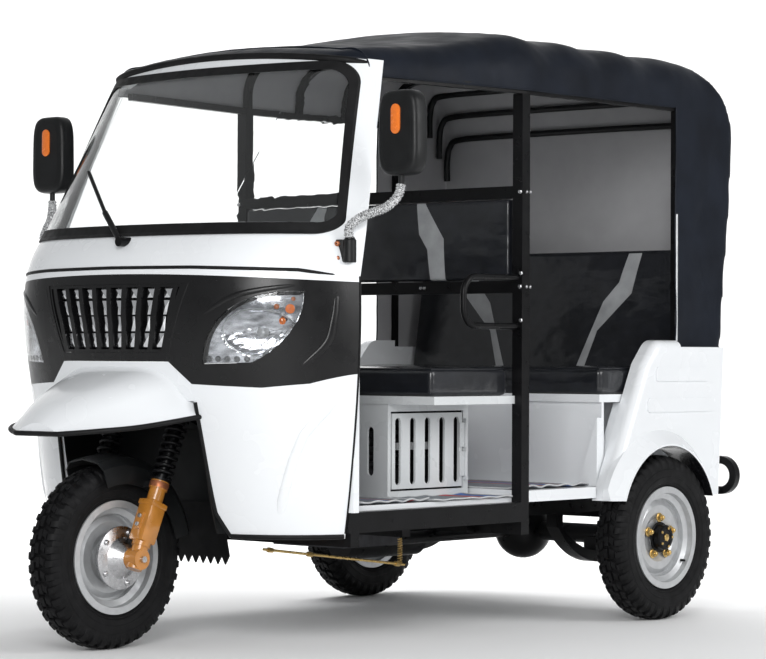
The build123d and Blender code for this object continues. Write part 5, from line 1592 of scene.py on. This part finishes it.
def door_mirror(side):
    """One mirror: shell, glass, amber reflector, sleeved arm and clamp."""
    centre = Vector((side * MIRROR_X, MIRROR_Y, MIRROR_HIGH.z - HEAD_TALL / 2))
    form = Form()
    rows = []
    count = 56
    layers = ((-0.5, 0.55), (-0.49, 0.72), (-0.46, 0.83), (-0.40, 0.91), (-0.28, 0.965), (-0.10, 0.995),
              (0.12, 1.0), (0.34, 1.0), (0.46, 0.985), (0.50, 0.955), (0.50, 0.925),
              (0.42, 0.915), (0.42, 0.20))
    for depth, share in layers:
        bulge = 0.004 * (1.0 - share) if depth < 0.0 else 0.0
        inset = (1.0 - share) * 0.055
        ring = rounded(HEAD_WIDE / 2 - inset, HEAD_TALL / 2 - inset, 4.2, count)
        y = depth * HEAD_THICK - bulge
        rows.append([centre + Vector((x * (1.0 - 0.05 * z / HEAD_TALL), y, z)) for x, z in ring])
    form.grid(rows, closed=True)
    form.add(rows[0], [tuple(range(count))])
    glass = rounded(HEAD_WIDE / 2 - 0.008, HEAD_TALL / 2 - 0.008, 4.2, count)
    form.prism(glass, centre + Y_AXIS * (0.41 * HEAD_THICK), X_AXIS, Z_AXIS, Y_AXIS * 0.003, kind=1)
    pill = []
    for k in range(24):
        t = 2.0 * math.pi * (k + 0.5) / 24
        shift = math.copysign(0.026, math.sin(t))
        pill.append((0.017 * math.cos(t) * side, 0.017 * math.sin(t) + shift))
    middle = centre + Vector((0.0, -0.5 * HEAD_THICK - 0.006, 0.038))
    lens = []
    for scale, out in ((1.0, 0.006), (1.0, 0.001), (0.82, -0.0012), (0.3, -0.002)):
        lens.append([middle + Vector((x * scale, out, z * scale)) for x, z in pill])
    form.grid(lens, kind=2, closed=True)
    form.add(lens[-1], [tuple(range(24))], kind=2)
    arm = smooth_path([(side * 0.648, MIRROR_Y - 0.118, 1.186), (side * 0.649, MIRROR_Y - 0.120, 1.225),
                       (side * 0.672, MIRROR_Y - 0.085, 1.258), (side * 0.712, MIRROR_Y - 0.035, 1.283),
                       (side * 0.737, MIRROR_Y - 0.005, 1.325), (side * 0.742, MIRROR_Y, 1.395)], 14)
    form.tube(arm, 0.0085, 12)
    sleeve = spread(arm[3:-9], 0.0028)
    form.tube(sleeve, [0.0132 + 0.0016 * math.sin(i * 1.9) for i in range(len(sleeve))], 18, kind=3)
    foot = Vector((side * 0.648, MIRROR_Y - 0.118, 0.0))
    socket = [(1.124, 0.004), (1.124, 0.0175), (1.126, 0.0190), (1.188, 0.0190), (1.191, 0.0165),
              (1.197, 0.0130), (1.197, 0.004)]
    form.spin(socket, foot, Z_AXIS, 28)
    clamp = Vector((side * 0.627, MIRROR_Y - 0.123, 1.157))
    turn = Matrix.Translation(clamp) @ Matrix.Rotation(side * 0.5, 4, "Z")
    form.block((-0.026, -0.010, -0.033), (0.026, 0.030, 0.033), 0.004, place=turn)
    front = turn.to_3x3() @ -Y_AXIS
    head = [(0.0, 0.002), (0.0, 0.0080), (0.006, 0.0080), (0.009, 0.005), (0.0095, 0.002)]
    for z in (-0.021, 0.021):
        spot = turn @ Vector((-0.014 * side, -0.010, z))
        form.spin(head, spot, front, 16, kind=4)
    label = "left" if side > 0 else "right"
    looks = ["black_plastic", "mirror_glass", "amber_lens", "clear_sleeve", "copper"]
    piece = form.piece("mirror_" + label, looks, "body", "black_plastic", crease=34.0)
    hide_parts("mirrors")


class RICKSHAW_OT_mirrors(bpy.types.Operator):
    """Makes the two mirrors on their sleeved arms"""

    bl_idname = "rickshaw.mirrors"
    bl_label = "Mirrors"

    def execute(self, context):
        door_mirror(1.0)
        door_mirror(-1.0)
        return {"FINISHED"}


# Headlamps

LAMP_MIDDLE = (0.487, 0.922)
DISH_HALF = (0.085, 0.066)
DISH_DEPTH = 0.030
BEHIND_LENS = 0.0066


def arc_points(a, via, b, count):
    """Points on the circle from one place by another to a third, without the last."""
    x0, z0, radius = arc_through(a, via, b)
    first, middle, last = (math.atan2(p[1] - z0, p[0] - x0) for p in (a, via, b))
    turn = (last - first) % (2.0 * math.pi)
    if (middle - first) % (2.0 * math.pi) > turn:
        turn -= 2.0 * math.pi
    angles = [first + turn * k / count for k in range(count)]
    return [(x0 + radius * math.cos(t), z0 + radius * math.sin(t)) for t in angles]


def headlamp_fittings(side):
    """Reflector with its dish, bulb cap, amber side lamp and row of small lamps for one headlamp."""
    lens = skin("headlamp_lenses")
    inner, heel, outer = (0.336, 0.832), (0.470, 0.836), (0.584, 1.040)
    base = [tuple(Vector(inner).lerp(Vector(heel), k / 14.0)) for k in range(14)]
    belly = arc_points(heel, (0.553, 0.914), outer, 34)
    brow = arc_points(outer, (0.428, 0.992), inner, 42)
    outline = base + belly + brow
    rows = []
    depths = []
    rings = 22
    for ring in range(rings + 1):
        share = 0.06 + 0.925 * ring / rings
        row = []
        deep = []
        for k, (ox, oz) in enumerate(outline):
            x = LAMP_MIDDLE[0] + (ox - LAMP_MIDDLE[0]) * share
            z = LAMP_MIDDLE[1] + (oz - LAMP_MIDDLE[1]) * share
            hit = lens.ray_cast(Vector((side * x, -3.0, z)), Y_AXIS)[0]
            y = hit.y if hit is not None else depths[-1][k]
            deep.append(y)
            across, up = (x - LAMP_MIDDLE[0]) / DISH_HALF[0], (z - LAMP_MIDDLE[1]) / DISH_HALF[1]
            bowl = max(0.0, 1.0 - across * across - up * up)
            step = 0.0014 * ((k // 5 + ring // 4) % 2) * min(1.0, bowl * 6.0)
            row.append(Vector((side * x, y + BEHIND_LENS + DISH_DEPTH * bowl ** 0.7 + step, z)))
        rows.append(row)
        depths.append(deep)
    form = Form()
    form.grid(rows[:-2], closed=True)
    form.add(rows[0], [tuple(range(len(outline)))])
    split = len(base) + len(belly)
    for first, last, kind in ((0, split, 0), (split, len(outline), 5)):
        picks = [i % len(outline) for i in range(first, last + 1)]
        form.grid([[row[i] for i in picks] for row in rows[-3:]], kind)
    middle = sum(rows[0], Vector()) / len(outline)
    cap = [(-0.004, 0.002), (-0.004, 0.0160), (0.012, 0.0150), (0.018, 0.011), (0.0195, 0.002)]
    form.spin(cap, middle, -Y_AXIS, 24, kind=1)
    rim = []
    for k in range(60):
        t = 2.0 * math.pi * k / 60.0
        x, z = LAMP_MIDDLE[0] + DISH_HALF[0] * math.cos(t), LAMP_MIDDLE[1] + DISH_HALF[1] * math.sin(t)
        if inside(outline, x, z):
            hit = lens.ray_cast(Vector((side * x, -3.0, z)), Y_AXIS)[0]
            if hit is not None:
                rim.append(hit + Y_AXIS * (BEHIND_LENS + 0.0006))
    form.tube(rim, 0.0018, 8, closed=True, kind=1)
    dot = [(-0.001, 0.002), (0.0, 0.0088), (0.0008, 0.0092), (0.0014, 0.0072), (0.0016, 0.0045),
           (0.0012, 0.001)]
    for p, n in laid(lens, [(side * (0.356 + 0.0255 * k), 0.0, 0.847) for k in range(5)], 3.0, Y_AXIS):
        form.spin(dot, p + Y_AXIS * BEHIND_LENS, n, 16, kind=2)
    for x, z, r, kind in ((0.556, 0.990, 0.018, 3), (0.541, 0.955, 0.010, 3), (0.530, 0.996, 0.011, 4),
                          (0.562, 1.018, 0.008, 4)):
        for p, n in laid(lens, [(side * x, 0.0, z)], 3.0, Y_AXIS):
            spot = p + Y_AXIS * (BEHIND_LENS + 0.003)
            bulb = [(-0.003, 0.001), (-0.002, r), (0.0005, r * 0.96), (0.0028, r * 0.6), (0.0034, 0.001)]
            form.spin(bulb, spot, n, 20, kind=kind)
    label = "left" if side > 0 else "right"
    looks = ["lamp_dish", "rim_silver", "lamp_dot", "amber_lens", "copper", "mask_black"]
    piece = form.piece("headlamp_reflector_" + label, looks, "body", "chrome", crease=14.0)
    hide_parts("headlamp_bowls")


class RICKSHAW_OT_lamps(bpy.types.Operator):
    """Makes the headlamps' reflectors, bulbs and small lamps"""

    bl_idname = "rickshaw.lamps"
    bl_label = "Headlamps"

    def execute(self, context):
        headlamp_fittings(1.0)
        headlamp_fittings(-1.0)
        return {"FINISHED"}


# Studio

# Sweep behind the vehicle: reach towards the camera, reach to the bend, radius of the bend, wall, half width
SWEEP_NEAR = 12.0
SWEEP_FAR = 9.0
SWEEP_BEND = 4.0
SWEEP_WALL = 8.0
SWEEP_HALF = 16.0


class RICKSHAW_OT_studio(bpy.types.Operator):
    """Sets the floor, the soft light and the camera"""

    bl_idname = "rickshaw.studio"
    bl_label = "Studio"

    def execute(self, context):
        scene = context.scene
        studio = scene.rickshaw_studio
        a, e, r = studio.azimuth, studio.pitch, studio.roll
        back = Vector((math.sin(a) * math.cos(e), -math.cos(a) * math.cos(e), math.sin(e)))
        right = (-back).cross(Z_AXIS).normalized()
        up = right.cross(-back)
        right, up = right * math.cos(r) + up * math.sin(r), up * math.cos(r) - right * math.sin(r)
        data = bpy.data.cameras.new("camera")
        data.sensor_width = 36.0
        data.lens = studio.lens
        data.clip_end = 60.0
        camera = bpy.data.objects.new("camera", data)
        camera.matrix_world = Matrix.Translation(studio.eye) @ Matrix((right, up, back)).transposed().to_4x4()
        scene.collection.objects.link(camera)
        scene.camera = camera
        sweep = Form()
        rows = []
        away = -Vector((back.x, back.y, 0.0)).normalized()
        across = Vector((right.x, right.y, 0.0)).normalized()
        for k in range(40):
            run = (SWEEP_NEAR + SWEEP_FAR) * k / 24.0 - SWEEP_NEAR if k <= 24 else SWEEP_FAR
            turn = 0.5 * math.pi * max(0, k - 24) / 15.0
            rise = SWEEP_BEND * (1.0 - math.cos(turn)) + (0.0 if k < 39 else SWEEP_WALL)
            centre = away * (run + SWEEP_BEND * math.sin(turn)) + Z_AXIS * rise
            rows.append([centre + across * SWEEP_HALF * (j / 4.0 - 1.0) for j in range(9)])
        sweep.grid(rows)
        mesh = bpy.data.meshes.new("floor")
        mesh.from_pydata(sweep.points, [], sweep.faces)
        mesh.materials.append(surface("studio_floor"))
        mesh.shade_smooth()
        floor = bpy.data.objects.new("floor", mesh)
        scene.collection.objects.link(floor)
        world = bpy.data.worlds.new("sky")
        world.use_nodes = True
        shade = world.node_tree.nodes["Background"]
        shade.inputs["Color"].default_value = (0.97, 0.985, 1.0, 1.0)
        shade.inputs["Strength"].default_value = studio.sky
        scene.world = world
        behind = away * 3.4
        for name, place, target, size, watts in (
                ("key", Vector((4.3, -5.6, 2.9)), Vector((0.0, -0.2, 0.8)), 3.4, studio.key),
                ("fill", Vector((6.0, 1.6, 3.0)), Vector((0.3, 0.2, 1.0)), 4.0, studio.fill),
                ("wall", behind + Z_AXIS * 6.5, behind + away * 7.0 + Z_AXIS * 1.5, 7.0, studio.wall)):
            data = bpy.data.lights.new(name, "AREA")
            data.shape = "DISK"
            data.size = size
            data.energy = watts
            light = bpy.data.objects.new(name, data)
            light.location = place
            light.rotation_euler = (target - place).to_track_quat("-Z", "Y").to_euler()
            scene.collection.objects.link(light)
        scene.view_settings.view_transform = "Standard"
        return {"FINISHED"}


class RICKSHAW_PT_panel(bpy.types.Panel):
    """Lists the steps of the finish"""

    bl_idname = "RICKSHAW_PT_panel"
    bl_label = "Auto Rickshaw"
    bl_space_type = "VIEW_3D"
    bl_region_type = "UI"
    bl_category = "Rickshaw"

    def draw(self, context):
        for step in STEPS:
            self.layout.operator(step.bl_idname)
        scene = context.scene
        for group in (scene.rickshaw_colours, scene.rickshaw_forms, scene.rickshaw_studio):
            for name in group.__annotations__:
                self.layout.prop(group, name)


GROUPS = (RickshawColours, RickshawForms, RickshawStudio)
STEPS = (RICKSHAW_OT_tyres, RICKSHAW_OT_wheels, RICKSHAW_OT_fork, RICKSHAW_OT_shell, RICKSHAW_OT_hood,
         RICKSHAW_OT_seats, RICKSHAW_OT_cab, RICKSHAW_OT_mats, RICKSHAW_OT_mirrors, RICKSHAW_OT_lamps,
         RICKSHAW_OT_studio)


def register():
    """Adds the classes and the settings."""
    for item in GROUPS + STEPS + (RICKSHAW_PT_panel,):
        bpy.utils.register_class(item)
    bpy.types.Scene.rickshaw_colours = PointerProperty(type=RickshawColours)
    bpy.types.Scene.rickshaw_forms = PointerProperty(type=RickshawForms)
    bpy.types.Scene.rickshaw_studio = PointerProperty(type=RickshawStudio)


def unregister():
    """Takes the classes and the settings out again."""
    del bpy.types.Scene.rickshaw_colours
    del bpy.types.Scene.rickshaw_forms
    del bpy.types.Scene.rickshaw_studio
    for item in reversed(GROUPS + STEPS + (RICKSHAW_PT_panel,)):
        bpy.utils.unregister_class(item)


def main():
    """Builds the vehicle through its operators."""
    register()
    bpy.ops.rickshaw.tyres()
    bpy.ops.rickshaw.wheels()
    bpy.ops.rickshaw.fork()
    bpy.ops.rickshaw.shell()
    bpy.ops.rickshaw.hood()
    bpy.ops.rickshaw.seats()
    bpy.ops.rickshaw.cab()
    bpy.ops.rickshaw.mats()
    bpy.ops.rickshaw.mirrors()
    bpy.ops.rickshaw.lamps()
    bpy.ops.rickshaw.studio()


if __name__ == "__main__":
    main()
